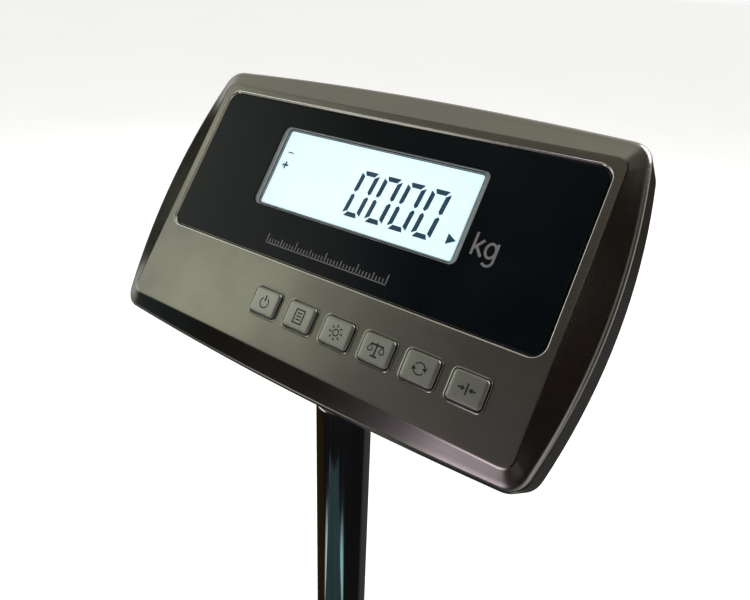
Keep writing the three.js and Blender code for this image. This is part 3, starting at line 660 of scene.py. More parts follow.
def lcd_frame():
    m = Mesh()
    W, H = 121.2, 43.0
    L = [rr(133.2, 51.2, 2.6, -10.3, 0, WIN_Y, n=6), rr(133.2, 51.2, 2.6, -2.0, 0, WIN_Y, n=6), rr(133.2, 51.2, 2.6, -1.8, 0, WIN_Y, off=-0.2, n=6),
         rr(W, H, 1.6, -1.8, 0, WIN_Y, off=1.25, n=6), rr(W, H, 1.5, -1.86, 0, WIN_Y, off=1.15, n=6), rr(W, H, 1.5, -2.3, 0, WIN_Y, off=0.72, n=6),
         rr(W, H, 1.2, -2.3, 0, WIN_Y, off=0.25, n=6), rr(W, H, 1.2, -2.36, 0, WIN_Y, off=0.2, n=6), rr(W, H, 1.2, -2.8, 0, WIN_Y, n=6),
         rr(126.2, 47.4, 1.0, -2.8, 0, WIN_Y, n=6), rr(126.2, 47.4, 1.0, -10.3, 0, WIN_Y, n=6)]
    # index 1 puts the painted shade on the two inner step walls of the opening
    mats_ = [0, 0, 0, 0, 1, 0, 0, 1, 0, 0, 0]
    ids = [m.loop(p) for p in L]
    for k in range(len(ids)):
        m.band(ids[k], ids[(k + 1) % len(ids)], mats_[k])
    return m


make("lcd_frame_grey_rim", lcd_frame(), [LCD_GREY, LCD_WALL_PAINTED_SHADE], replaces="lcd_frame")


def lcd_cell():
    m = Mesh()
    L = m.bands([rr(125.4, 46.6, 0.4, z, 0, WIN_Y, off=o, n=3) for o, z in ((-0.15, -5.6), (0, -5.45), (0, -4.4), (-0.05, -4.35), (0, -4.3), (0, -3.25), (-0.15, -3.1))])
    m.ngon(L[0])
    m.ngon(L[-1])
    return m


make("lcd_cell_lit", lcd_cell(), [LCD], replaces="lcd_cell")


def slab_poly(m, pts, z0, z1, mat_=0):
    a, b = m.loop([(x, y, z0) for x, y in pts]), m.loop([(x, y, z1) for x, y in pts])
    m.band(a, b, mat_)
    m.ngon(a, mat_)
    m.ngon(b, mat_)


DIGIT_H, DIGIT_W, DIGIT_P, SLANT, SEG_T = 25.4, 10.9, 14.0, 0.10, 2.5


def digits():
    """Four slanted seven-segment noughts."""
    m = Mesh()
    t, g = SEG_T, 0.45
    w, h = DIGIT_W, DIGIT_H
    half = h / 2
    def vseg(x0, x1, y0, y1, outer_left):
        # upright bar with pointed ends
        xm = (x0 + x1) / 2
        return [(x0, y0 + t * 0.5), (xm, y0), (x1, y0 + t * 0.5), (x1, y1 - t * 0.5), (xm, y1), (x0, y1 - t * 0.5)]
    def hseg(y0, y1, x0, x1):
        ym = (y0 + y1) / 2
        return [(x0 + t * 0.5, y0), (x1 - t * 0.5, y0), (x1, ym), (x1 - t * 0.5, y1), (x0 + t * 0.5, y1), (x0, ym)]
    segs = []
    segs.append([(t * 0.55, h), (w - t * 0.55, h), (w - t * 1.15, h - t), (t * 1.15, h - t)])          # top
    segs.append([(t * 1.15, t), (w - t * 1.15, t), (w - t * 0.55, 0), (t * 0.55, 0)])                    # bottom
    for side in (0, 1):
        X = (lambda x: x) if side == 0 else (lambda x: w - x)
        segs.append([(X(0), h - t * 0.55), (X(t), h - t * 1.2), (X(t), half + t * 0.75), (X(t * 0.5), half + g), (X(0), half + t * 0.55)])
        segs.append([(X(0), t * 0.55), (X(t), t * 1.2), (X(t), half - t * 0.75), (X(t * 0.5), half - g), (X(0), half - t * 0.55)])
    x_right, y0 = 47.2, -9.3
    for d in range(4):
        ox = x_right - w - DIGIT_P * d
        for s in segs:
            pts = [(ox + x + (y - half) * SLANT, y0 + y) for x, y in s]
            area = sum(pts[i][0] * pts[(i + 1) % len(pts)][1] - pts[(i + 1) % len(pts)][0] * pts[i][1] for i in range(len(pts)))
            if area < 0:
                pts.reverse()
            slab_poly(m, pts, -3.09, -3.02)
    return m


make("lcd_figures", digits(), [LCD_INK], weighted=False)


def lcd_marks():
    m = Mesh()
    slab_poly(m, [(-57.2, 15.1), (-53.2, 15.1), (-53.2, 15.8), (-57.2, 15.8)], -3.09, -3.02)
    x, y, a, b = -55.4, 8.0, 2.1, 0.55
    slab_poly(m, [(x - b, y - a), (x + b, y - a), (x + b, y - b), (x + a, y - b), (x + a, y + b), (x + b, y + b), (x + b, y + a), (x - b, y + a), (x - b, y + b), (x - a, y + b), (x - a, y - b), (x - b, y - b)], -3.09, -3.02)
    slab_poly(m, [(54.3, -8.4), (59.2, -5.7), (54.3, -3.0)], -3.09, -3.02)
    return m


make("lcd_status_marks", lcd_marks(), [LCD_INK], weighted=False)


def text_piece(name, body_text, size, x, y, z, material, shear=0.0, body="head", matrix=HEADM, depth=0.03, slot=None, spacing=1.0):
    c = bpy.data.curves.new(name, "FONT")
    c.body, c.size, c.extrude, c.shear, c.resolution_u, c.space_character = body_text, size / 1000, depth / 1000, shear, 8, spacing
    o = bpy.data.objects.new(name, c)
    bpy.context.scene.collection.objects.link(o)
    o.matrix_world = matrix @ Matrix.Translation(Vector((x, y, z)) * 0.001)
    bpy.context.view_layer.update()
    dg = bpy.context.evaluated_depsgraph_get()
    me = bpy.data.meshes.new_from_object(o.evaluated_get(dg))
    w = o.matrix_world.copy()
    bpy.data.objects.remove(o)
    o = bpy.data.objects.new(name, me)
    bpy.context.scene.collection.objects.link(o)
    me.materials.clear()
    me.materials.append(material)
    o.matrix_world = w
    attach(o, body)
    return o


def stroke_band(m, pts, width, z0, z1, closed=False):
    """Flat line of even width along pts, printed between z0 and z1."""
    n = len(pts)
    left, right = [], []
    for i in range(n):
        a = pts[(i - 1) % n] if closed or i > 0 else pts[i]
        b = pts[(i + 1) % n] if closed or i < n - 1 else pts[i]
        dx, dy = b[0] - a[0], b[1] - a[1]
        k = width / 2 / math.hypot(dx, dy)
        left.append((pts[i][0] - dy * k, pts[i][1] + dx * k))
        right.append((pts[i][0] + dy * k, pts[i][1] - dx * k))
    if closed:
        lo0, lo1 = m.loop([(x, y, z0) for x, y in left]), m.loop([(x, y, z1) for x, y in left])
        ro0, ro1 = m.loop([(x, y, z0) for x, y in right]), m.loop([(x, y, z1) for x, y in right])
        for a, b in ((lo0, lo1), (lo1, ro1), (ro1, ro0), (ro0, lo0)):
            m.band(a, b)
    else:
        slab_poly(m, right + left[::-1], z0, z1)


def unit_mark():
    """The unit: k and a single-storey g."""
    m = Mesh()
    def at_(pts):
        return [(68.83 + (x - 68.83) * 0.82, -9.8 + (y + 11.2) * 0.90) for x, y in pts]
    stroke_band(m, at_([(69.5, -11.2), (69.5, 0.6)]), 1.25, -0.54, -0.500)
    stroke_band(m, at_([(70.0, -7.6), (74.8, -2.7)]), 1.25, -0.54, -0.504)
    stroke_band(m, at_([(71.4, -6.6), (75.4, -11.2)]), 1.35, -0.54, -0.508)
    cx, cy = 80.0, -7.0
    stroke_band(m, at_([(cx + 3.0 * math.cos(2 * math.pi * i / 28), cy + 3.65 * math.sin(2 * math.pi * i / 28)) for i in range(28)]), 1.2, -0.54, -0.500, closed=True)
    tail = [(83.3, -2.75), (83.3, -5.5), (83.3, -9.0), (83.3, -11.9)]
    tail += [(80.1 + 3.2 * math.cos(a), -12.0 + 2.85 * math.sin(a)) for a in [-math.radians(8 + 15 * i) for i in range(10)]]
    stroke_band(m, at_(tail), 1.2, -0.54, -0.504)
    return m


make("unit_print", unit_mark(), [PRINT_GREY], weighted=False)


def ruler_print():
    """A plain graduated rule printed under the window."""
    m = Mesh()
    x0, x1, y = -43.0, 35.0, -35.2
    n = 39
    for i in range(n + 1):
        x = x0 + (x1 - x0) * i / n
        h = 4.6 if i % 10 == 0 or i == n else (3.4 if i % 5 == 0 else 2.2)
        w = 0.26
        slab_poly(m, [(x - w, y), (x + w, y), (x + w, y + h), (x - w, y + h)], -0.54, -0.50)
    slab_poly(m, [(x0 - 0.26, y - 0.7), (x1 + 0.26, y - 0.7), (x1 + 0.26, y - 0.25), (x0 - 0.26, y - 0.25)], -0.54, -0.50)
    return m


make("rule_print", ruler_print(), [PRINT_GREY], weighted=False)

# ---------------------------------------------------------------- keys
def key_cap():
    m = Mesh()
    w, h, r = KEY_W - 0.7, KEY_H - 0.7, 2.1
    prof = [(0, -2.4), (0, 0.55), (-0.08, 0.85), (-0.26, 1.12), (-0.55, 1.32), (-0.95, 1.44), (-1.5, 1.49), (-2.4, 1.5), (-3.6, 1.5)]
    ids = m.bands([rr(w, h, r, z, off=o, n=7) for o, z in prof])
    m.ngon(ids[-1])
    flange = [rr(20.4, 16.8, 1.5, z, n=4) for z in (-2.5, -3.8)]
    f = m.bands(flange)
    m.fill(f[0], [ids[0]])
    m.ngon(f[1])
    return m


def ring_poly(m, cx, cy, r0, r1, a0, a1, z0, z1, n=20):
    outer = [(cx + r1 * math.cos(math.radians(a0 + (a1 - a0) * i / n)), cy + r1 * math.sin(math.radians(a0 + (a1 - a0) * i / n))) for i in range(n + 1)]
    inner = [(cx + r0 * math.cos(math.radians(a0 + (a1 - a0) * i / n)), cy + r0 * math.sin(math.radians(a0 + (a1 - a0) * i / n))) for i in range(n + 1)]
    for i in range(n):
        slab_poly(m, [outer[i], outer[i + 1], inner[i + 1], inner[i]][::-1], z0, z1)


def bar(m, x0, y0, x1, y1, t, z0, z1):
    d = Vector((x1 - x0, y1 - y0)).normalized()
    p = Vector((-d.y, d.x)) * t / 2
    slab_poly(m, [(x0 - p.x, y0 - p.y), (x1 - p.x, y1 - p.y), (x1 + p.x, y1 + p.y), (x0 + p.x, y0 + p.y)], z0, z1)


def icon(kind):
    m = Mesh()
    z0, z1, t = 1.485, 1.54, 0.85
    if kind == 0:      # power
        ring_poly(m, 0, -0.3, 2.4, 3.0, 125, 415, z0, z1)
        bar(m, 0, 0.4, 0, 3.6, t, z0, z1)
    elif kind == 1:    # print: sheet with lines
        for a in ((-2.6, -3.4, 2.6, -3.4), (2.6, -3.7, 2.6, 3.7), (2.6, 3.4, -2.6, 3.4), (-2.6, 3.7, -2.6, -3.7)):
            bar(m, *a, t * 0.85, z0, z1)
        for y in (-1.5, 0.1, 1.7):
            bar(m, -1.5, y, 1.5, y, t * 0.8, z0, z1)
    elif kind == 2:    # light
        ring_poly(m, 0, 0, 1.25, 1.85, 0, 360, z0, z1)
        for k in range(8):
            a = math.pi / 4 * k
            bar(m, 2.6 * math.cos(a), 2.6 * math.sin(a), 3.9 * math.cos(a), 3.9 * math.sin(a), t * 0.85, z0, z1)
    elif kind == 3:    # balance
        bar(m, -3.6, 2.2, 3.6, 2.2, t, z0, z1)
        bar(m, 0, 3.2, 0, -3.1, t, z0, z1)
        bar(m, -1.9, -3.2, 1.9, -3.2, t, z0, z1)
        for s in (-1, 1):
            ring_poly(m, s * 3.2, 0.1, 1.05, 1.6, 180, 360, z0, z1)
            bar(m, s * 3.2, 2.2, s * 3.2 - 1.2, 0.1, t * 0.55, z0, z1)
            bar(m, s * 3.2, 2.2, s * 3.2 + 1.2, 0.1, t * 0.55, z0, z1)
    elif kind == 4:    # cycle
        for s in (0, 180):
            ring_poly(m, 0, 0, 2.4, 3.0, 20 + s, 150 + s, z0, z1)
            a = math.radians(20 + s)
            c = Vector((2.7 * math.cos(a), 2.7 * math.sin(a)))
            d = Vector((math.sin(a), -math.cos(a)))
            p = Vector((-d.y, d.x))
            tri = [c + p * 1.35, c - p * 1.35, c + d * 1.9]
            pts = [(q.x, q.y) for q in tri]
            slab_poly(m, pts if s == 0 else pts, z0, z1)
    else:              # to zero: two arrows meeting a bar
        bar(m, 0, -2.6, 0, 2.6, t, z0, z1)
        for s in (-1, 1):
            bar(m, s * 4.2, 0, s * 1.9, 0, t, z0, z1)
            slab_poly(m, [(s * 0.8, 0), (s * 2.5, s * 1.3), (s * 2.5, -s * 1.3)], z0, z1)
    return m


for i in range(6):
    at = HEADM @ Matrix.Translation(Vector((key_x(i), KEY_Y, 0)) * 0.001)
    make(f"key_cap_{i + 1}", key_cap(), [STEEL_KEY], matrix=at, body=f"button_{i + 1}", replaces=f"key_{i + 1}", sharp=55)
    make(f"key_icon_{i + 1}", icon(i), [ICON], matrix=at, body=f"button_{i + 1}", weighted=False)

# ---------------------------------------------------------------- column
def column_tube():
    z0, z1 = 62.3, 642.3
    return lathe([(14.4, z0 + 0.3), (14.7, z0), (15.6, z0), (15.9, z0 + 0.3), (15.9, z1 - 0.4), (15.5, z1), (14.8, z1), (14.4, z1 - 0.4), (14.4, z0 + 0.3)], 96)


make("column_tube_polished", column_tube(), [TUBE], matrix=Matrix.Translation(Vector((0, COL_Y, 0)) * 0.001), body="base", replaces="column_tube")

# ---------------------------------------------------------------- helpers for turned, folded and screwed pieces
def at(x, y, z, rx=0.0, ry=0.0, rz=0.0, base=None):
    m = Matrix.Translation(Vector((x, y, z)) * 0.001) @ Matrix.Rotation(math.radians(rz), 4, "Z") @ Matrix.Rotation(math.radians(ry), 4, "Y") @ Matrix.Rotation(math.radians(rx), 4, "X")
    return (base or WORLDM) @ m


def refine(node_name, material, body, width=0.5, seg=3, sharp=30):
    """The CAD solid with its edges rounded as a made piece has them."""
    me = frame["nodes"][node_name].data.copy()
    me.name = node_name + "_fine"
    bm = bmesh.new()
    bm.from_mesh(me)
    bmesh.ops.remove_doubles(bm, verts=bm.verts, dist=1e-6)
    bmesh.ops.dissolve_limit(bm, angle_limit=math.radians(0.8), verts=bm.verts, edges=bm.edges)
    for f in bm.faces:
        f.smooth = True
    bm.to_mesh(me)
    bm.free()
    me.set_sharp_from_angle(angle=math.radians(sharp))
    me.materials.clear()
    me.materials.append(material)
    o = bpy.data.objects.new(node_name + "_fine", me)
    bpy.context.scene.collection.objects.link(o)
    o.matrix_world = frame["nodes"][node_name].matrix_world.copy()
    b = o.modifiers.new("edge", "BEVEL")
    b.width, b.segments, b.limit_method, b.angle_limit, b.use_clamp_overlap = width / 1000, seg, "ANGLE", math.radians(34), True
    w = o.modifiers.new("normals", "WEIGHTED_NORMAL")
    w.keep_sharp = True
    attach(o, body)
    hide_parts(node_name)
    return o


def screw(r, h, z0, shank_r, shank_z, socket, n=40, dome=0.7, depth=0.55, flip=False):
    """Button head with a hexagon socket: seat at z0, head towards +z, shank down to shank_z."""
    m = Mesh()
    head = [(shank_r, z0), (r - 0.15, z0), (r, z0 + 0.15), (r, z0 + h * 0.32)]
    for i in range(1, 6):
        t = i / 5 * 0.5 * math.pi
        head.append((r - (r - socket * 0.72) * (1 - math.cos(t)) * dome, z0 + h * 0.32 + h * 0.68 * math.sin(t)))
    prof = [(0, shank_z), (shank_r - 0.5, shank_z), (shank_r, shank_z + 0.6)] + head
    ids = []
    for q, z in prof:
        ids.append([m.loop([(0, 0, z)])[0]] * n if q < 1e-6 else m.loop(circ(q, z, n)))
    for k in range(len(ids) - 1):
        for i in range(n):
            j = (i + 1) % n
            f = [ids[k][i], ids[k][j], ids[k + 1][j], ids[k + 1][i]]
            f = [x for t, x in enumerate(f) if x not in f[:t]]
            if len(f) > 2:
                m.f.append(tuple(f))
                m.m.append(0)
    top = z0 + h
    a = m.loop(hexa(socket + 0.25, top, n=3))
    b = m.loop(hexa(socket, top - 0.18, n=3))
    c = m.loop(hexa(socket, top - h * depth, n=3))
    d = m.loop([(x * 0.25, y * 0.25, top - h * depth - 0.35) for x, y, z in hexa(socket, 0, n=3)])
    m.fill(ids[-1], [a])
    m.band(a, b)
    m.band(b, c)
    m.band(c, d)
    m.ngon(d)
    return m


def hex_bolt(af, z0, z1, shank_r, shank_z, washer=0.0, n=36):
    """Hexagon head with its chamfered corners and a faced washer under it."""
    m = Mesh()
    w = lathe([(0, shank_z), (shank_r - 0.7, shank_z), (shank_r, shank_z + 0.8), (shank_r, z0)] + ([(washer - 0.2, z0), (washer, z0 + 0.2), (washer, z0 + 0.9), (washer - 0.3, z0 + 1.1)] if washer else []) + [(af * 0.47, z0 + (1.1 if washer else 0.0)), (0, z0 + (1.1 if washer else 0.0))], n)
    m.add(w)
    zb = z0 + (1.12 if washer else 0.02)
    h = z1 - zb
    L = m.bands([hexa(af, zb, chamfer=0.92, n=5), hexa(af, zb + h * 0.10, chamfer=0.35, n=5), hexa(af, zb + h * 0.22, n=5), hexa(af, zb + h * 0.74, n=5), hexa(af, zb + h * 0.90, chamfer=0.45, n=5), hexa(af, z1 - h * 0.02, chamfer=0.98, n=5),
                  [(x * 0.9, y * 0.9, z1) for x, y, z in hexa(af, 0, chamfer=1.0, n=5)], [(x * 0.55, y * 0.55, z1) for x, y, z in hexa(af, 0, chamfer=1.0, n=5)]])
    m.ngon(L[0])
    m.ngon(L[-1])
    return m


def section_tube(w, h, r, length, wall=2.0, cap=None, bead=None, n=6):
    """Rectangular tube along +Z from 0: rounded outside and inside, open or with welded end plates."""
    m = Mesh()
    o = [rr(w, h, r, z, off=off, n=n) for z, off in ((0.0, -0.55), (0.16, -0.16), (0.55, 0.0), (length - 0.55, 0.0), (length - 0.16, -0.16), (length, -0.55))]
    ids = m.bands(o)
    if cap:
        for k, z, s in ((0, 0.0, 1), (-1, length, -1)):
            pl = [rr(w, h, r, z + s * d, off=off, n=n) for d, off in ((0.10, -0.9), (0.28, -1.3), (0.12, -1.75), (0.05, -2.4))]
            q = [m.loop(x) for x in pl]
            m.band(ids[k], q[0])
            for i in range(len(q) - 1):
                m.band(q[i], q[i + 1])
            m.ngon(q[-1])
    else:
        i_ = [rr(w - 2 * wall, h - 2 * wall, max(r - wall, 0.8), z, off=off, n=n) for z, off in ((0.0, 0.3), (0.3, 0.0), (length - 0.3, 0.0), (length, 0.3))]
        q = m.bands(i_)
        m.band(ids[0], q[0])
        m.band(ids[-1], q[-1])
    for z, s in (bead or ()):
        m.add(weld_loop(rr(w, h, r, z, n=n), s))
    return m


def weld_loop(path, side, rad=2.2, step=1.15):
    """Weld bead round a closed path: a rippled fillet, side -1 or +1 along Z."""
    pts = [Vector(p) for p in path]
    dense = []
    for i, p in enumerate(pts):
        q = pts[(i + 1) % len(pts)]
        k = max(1, round((q - p).length / step))
        dense += [p.lerp(q, j / k) for j in range(k)]
    m = Mesh()
    rings = []
    cx = sum((p for p in dense), Vector()) / len(dense)
    for i, p in enumerate(dense):
        t = (dense[(i + 1) % len(dense)] - dense[i - 1]).normalized()
        out = Vector((t.y, -t.x, 0))
        if out.dot(p - cx) < 0:
            out.negate()
        rad_ = rad * (0.90 + 0.12 * math.cos(i * math.pi / 1.5) + 0.04 * math.sin(i * 0.7))
        ring = []
        # toe that fills the groove at the rounded corner of the tube welded to
        for o_, z_ in ((-1.6, 2.2), (-0.2, 3.3), (0.75, 2.3)):
            ring.append(p + out * (o_ * rad_ / 2.2) + Vector((0, 0, 1)) * side * z_)
        for a in (-35, 0, 32, 64, 96, 130):
            c, s_ = math.cos(math.radians(a)), math.sin(math.radians(a))
            ring.append(p + out * (c * rad_ * 0.95 - 0.35) - Vector((0, 0, 1)) * side * (s_ * rad_ - 0.15))
        ring.append(p - out * 0.8 - Vector((0, 0, 1)) * side * -0.1)
        rings.append(m.loop([tuple(v) for v in ring]))
    n = len(rings)
    for i in range(n):
        m.band(rings[i], rings[(i + 1) % n])
    return m


# ---------------------------------------------------------------- head: back, fittings, inside
for nm, wd in (("main_board", 0.12), ("key_board", 0.12)):
    refine(nm, CIRCUIT, "head", wd, 1)
refine("backlight_plate", BACKLIGHT, "head", 0.25, 2)
refine("battery_pack", BATTERY, "head", 1.6, 4)
refine("battery_clamp", ZINC, "head", 0.35, 2)
refine("switch_housing", BLACK_PLASTIC, "head", 0.45, 3)
refine("power_rocker", ROCKER, "switch", 0.5, 3)
refine("tilt_bracket", BRACKET, "head", 0.5, 3)
refine("column_head", BRACKET, "neck", 0.7, 3)

SCREWS = [(-60, 53.6), (60, 53.6), (-60, -92.8), (60, -92.8)]
for i, (x, y) in enumerate(SCREWS):
    make(f"cover_screw_head_{i + 1}", screw(3.5, 3.0, 28.2, 1.7, 14.4, 2.2), [BOLT], matrix=HEADM @ at(x, y, 0, rx=180), body="head", replaces=f"cover_screw_{i + 1}", sharp=40)
for nm, x in (("left", -41), ("right", 41)):
    make(f"bracket_screw_head_{nm}", screw(4.6, 3.4, 0.0, 2.5, -9.8, 2.7), [BOLT], matrix=LEVELM @ at(x, FLOOR_Y, FLOOR_Z - 3.2, rx=180), body="head", replaces=f"bracket_screw_{nm}", sharp=40)


def gland():
    m = Mesh()
    # tapered clamping sleeve, dome nut with grip flats, hexagon body, thread inside the case
    prof = [(2.6, 0), (4.6, 0), (5.3, 0.35), (5.7, 1.0), (7.5, 3.4), (8.15, 4.6), (8.35, 6.0), (8.45, 12.2), (8.5, 12.6), (8.0, 12.75), (8.0, 13.1)]
    m.add(lathe([(2.6, 21.0 + 9.0), (2.6, 1.5), (3.0, 0.4), (3.6, 0.0), (4.6, 0.0), (5.3, 0.35), (5.7, 1.0), (7.4, 3.4), (7.9, 4.8), (8.0, 12.5), (8.2, 12.9), (8.2, 15.2), (8.4, 15.4)], 48, 0))
    for i in range(16):
        a = 2 * math.pi * i / 16
        bar_ = Mesh()
        q = [rr(1.15, 0.9, 0.35, z, 8.0 + dx, 0, n=3) for z, dx in ((5.2, -0.5), (5.8, -0.02), (11.6, 0.0), (12.2, -0.5))]
        ii = bar_.bands(q)
        bar_.ngon(ii[0])
        bar_.ngon(ii[-1])
        m.add(bar_, Matrix.Rotation(a, 4, "Z"))
    L = m.bands([hexa(17.6, 15.4, chamfer=0.9, n=5), hexa(17.6, 16.1, n=5), hexa(17.6, 19.7, n=5), hexa(17.6, 20.3, chamfer=0.9, n=5)])
    m.ngon(L[0])
    m.ngon(L[-1])
    m.add(lathe([(2.6, 20.2), (9.9, 20.2), (10.0, 20.35), (10.0, 20.6), (7.4, 20.6), (7.4, 30.0), (2.6, 30.0)], 48))
    return m


make("cable_gland_fine", gland(), [BLACK_PLASTIC], matrix=LEVELM @ at(-62, FLOOR_Y, FLOOR_Z - 21), body="head", replaces="cable_gland", sharp=35)
make("cable_gland_seal", lathe([(0, 2.2), (1.5, 2.2), (2.0, 1.6), (2.55, 1.3), (2.55, 6.0), (0, 6.0)], 40), [RUBBER], matrix=LEVELM @ at(-62, FLOOR_Y, FLOOR_Z - 21), body="head", sharp=40)
make("charge_jack_fine", lathe([(0, 14.6), (4.8, 14.6), (5.0, 14.4), (5.0, 2.2), (6.6, 2.2), (7.0, 1.9), (7.0, 0.9), (6.7, 0.3), (6.1, 0.0), (3.6, 0.0), (3.2, 0.15), (2.85, 0.6), (2.75, 1.2), (2.75, 10.4), (0, 10.4)], 48), [BLACK_PLASTIC], matrix=LEVELM @ at(-90, FLOOR_Y, FLOOR_Z - 2.6), body="head", replaces="charge_jack", sharp=40)
make("charge_jack_pin", lathe([(0, 3.0), (0.45, 3.05), (0.85, 3.5), (0.95, 4.2), (0.95, 10.3), (0, 10.3)], 24), [BOLT], matrix=LEVELM @ at(-90, FLOOR_Y, FLOOR_Z - 2.6), body="head", sharp=50)


def tilt_bolt():
    m = Mesh()
    m.add(hex_bolt(12.6, 0, 5.4, 4.0, -44.2, 0, 40))
    return m


# along X: head on the left ear
make("tilt_bolt_fine", tilt_bolt(), [BOLT], matrix=LEVELM @ at(-18.2, TILT_Y, TILT_Z, ry=-90), body="head", replaces="tilt_bolt", sharp=35)


def knob():
    """Five-lobed clamping knob with a boss, a crowned face and a small recess at its centre."""
    m = Mesh()
    n = 120

    def lobe(scale, z, off=0.0, k=1.3):
        pts = []
        for i in range(n):
            t = 2 * math.pi * i / n
            r = (11.0 + k * math.cos(5 * t)) * scale + off
            pts.append((r * math.cos(t), r * math.sin(t), z))
        return pts

    L = [circ(4.5, 0, n), circ(6.4, 0, n), circ(6.8, 0.3, n), circ(6.9, 3.6, n), circ(7.3, 4.0, n), lobe(0.86, 4.05, 0, 1.2), lobe(0.95, 4.35), lobe(0.99, 5.1), lobe(1.0, 6.2), lobe(1.0, 12.6), lobe(0.985, 13.9), lobe(0.94, 14.9), lobe(0.86, 15.55, 0, 1.1), lobe(0.72, 15.9, 0, 0.8), lobe(0.5, 16.0, 0, 0.3), circ(3.6, 15.95, n), circ(3.1, 15.6, n), circ(3.0, 15.3, n)]
    ids = m.bands(L)
    m.ngon(ids[-1])
    a = m.loop(circ(4.5, 9.0, n))
    m.band(ids[0], a)
    m.ngon(a)
    return m


make("tilt_knob_star", knob(), [KNOB], matrix=LEVELM @ at(18.0, TILT_Y, TILT_Z, ry=90), body="clamp_knob", replaces="tilt_knob", sharp=38)
# marks on the rocker: a bar and a ring, moulded proud
mk = Mesh()
slab_poly(mk, [(3.2, -1.6), (3.75, -1.6), (3.75, 1.6), (3.2, 1.6)], 0, 0.14)
ring_poly(mk, -3.6, 0, 1.0, 1.5, 0, 360, 0, 0.14, 24)
# the rocker's outer faces lie under z = -2.9 to -4.4 from its pivot, at rest turned 8 degrees
for nm, sx in (("on", 1), ("off", -1)):
    mm_ = Mesh()
    if sx > 0:
        slab_poly(mm_, [(-0.28, -1.5), (0.28, -1.5), (0.28, 1.5), (-0.28, 1.5)], 0, 0.16)
    else:
        ring_poly(mm_, 0, 0, 0.95, 1.4, 0, 360, 0, 0.16, 24)
    slope = math.degrees(math.atan2(1.5, 7.2))
    base = LEVELM @ at(62, FLOOR_Y, FLOOR_Z + 2.2, ry=8) @ at(sx * 3.9, 0, -2.9 - 3.9 * 1.5 / 7.2, ry=sx * slope, rx=180)
    make(f"rocker_mark_{nm}", mm_, [MARK_WHITE], matrix=base, body="switch", weighted=False)

# ---------------------------------------------------------------- column foot
def socket():
    m = Mesh()
    n = 48
    z = 7.0
    L = [rr(104, 46, 12, a, off=o, n=10) for a, o in ((0.0, -0.6), (0.2, -0.15), (0.7, 0.0), (6.2, 0.0), (6.8, -0.2), (7.0, -0.8))]
    ids = m.bands(L)
    holes = [[m.loop(circ(4.6, a, 28, x, 0)) for a in (0.0, 0.4, 6.6, 7.0)] for x in (-41, 41)]
    for h in holes:
        for k in range(3):
            m.band(h[k], h[k + 1])
    # collar, with a fillet weld at its foot and a slotted clamp rim
    weld = []
    for a, r in ((7.0, 24.0), (7.6, 23.6), (8.6, 22.6), (9.8, 21.75), (10.4, 21.5)):
        weld.append([(x * (1 + 0.012 * math.cos(i * 2.3) * (r > 21.6)), y * (1 + 0.012 * math.cos(i * 2.3) * (r > 21.6)), q) for i, (x, y, q) in enumerate(circ(r, a, 96))])
    col = weld + [circ(r, a, 96) for a, r in ((66.5, 21.5), (67.5, 21.4), (69.4, 20.5), (70.0, 19.6), (70.0, 17.2), (69.5, 16.5), (0.0, 16.4))]
    c = m.bands(col)
    m.fill(ids[-1], [c[0], holes[0][3], holes[1][3]])
    m.fill(ids[0], [c[-1], holes[0][0], holes[1][0]])
    return m


make("column_socket_welded", socket(), [SOCKET_PAINT], matrix=at(0, COL_Y, 62.3), body="base", replaces="column_socket", sharp=36)
for nm, x in (("left", -41), ("right", 41)):
    make(f"socket_bolt_fine_{nm}", hex_bolt(12.5, 0, 5.2, 4.2, -17.3, 7.0, 40), [ZINC_BOLT], matrix=at(x, COL_Y, 62.3 + 7.3, rz=12 if x < 0 else 31), body="base", replaces=f"socket_bolt_{nm}", sharp=35)
make("column_clamp_bolt_fine", hex_bolt(12.4, 0, 5.4, 4.0, -5.6, 0, 40), [ZINC_BOLT], matrix=at(0, COL_Y + 22.2, 62.3 + 46, rx=-90), body="base", replaces="column_clamp_bolt", sharp=35)
make("neck_set_screw_fine", screw(3.0, 2.2, 0.6, 2.9, -0.4, 2.4, dome=0.25), [DARK_BOLT], matrix=at(0, COL_Y + 14.8, 62.3 + 556, rx=-90), body="base", replaces="neck_set_screw", sharp=40)

# ---------------------------------------------------------------- base frame
RAIL_Y0, RAIL_LEN = PAN_Y - 240, 556.0
for nm, s_ in (("left", -1), ("right", 1)):
    make(f"base_rail_tube_{nm}", section_tube(40, 30, 3.5, RAIL_LEN, cap=True), [PAINT], matrix=at(s_ * 165, RAIL_Y0, 47) @ Matrix.Rotation(math.radians(-90), 4, "X"), body="base", replaces=f"base_rail_{nm}", sharp=34)
CX = 165 - 20 - 0.3
for nm, y in (("front", PAN_Y - 200), ("middle", PAN_Y + 50), ("rear", COL_Y)):
    make(f"base_cross_tube_{nm}", section_tube(30, 40, 3.5, 2 * CX, bead=((0.0, -1), (2 * CX, 1))), [PAINT], matrix=at(-CX, y, 47) @ Matrix.Rotation(math.radians(90), 4, "Y"), body="base", replaces=f"base_crossbar_{nm}", sharp=34)

FEET = [(-165, PAN_Y - 215), (165, PAN_Y - 215), (-165, COL_Y), (165, COL_Y)]


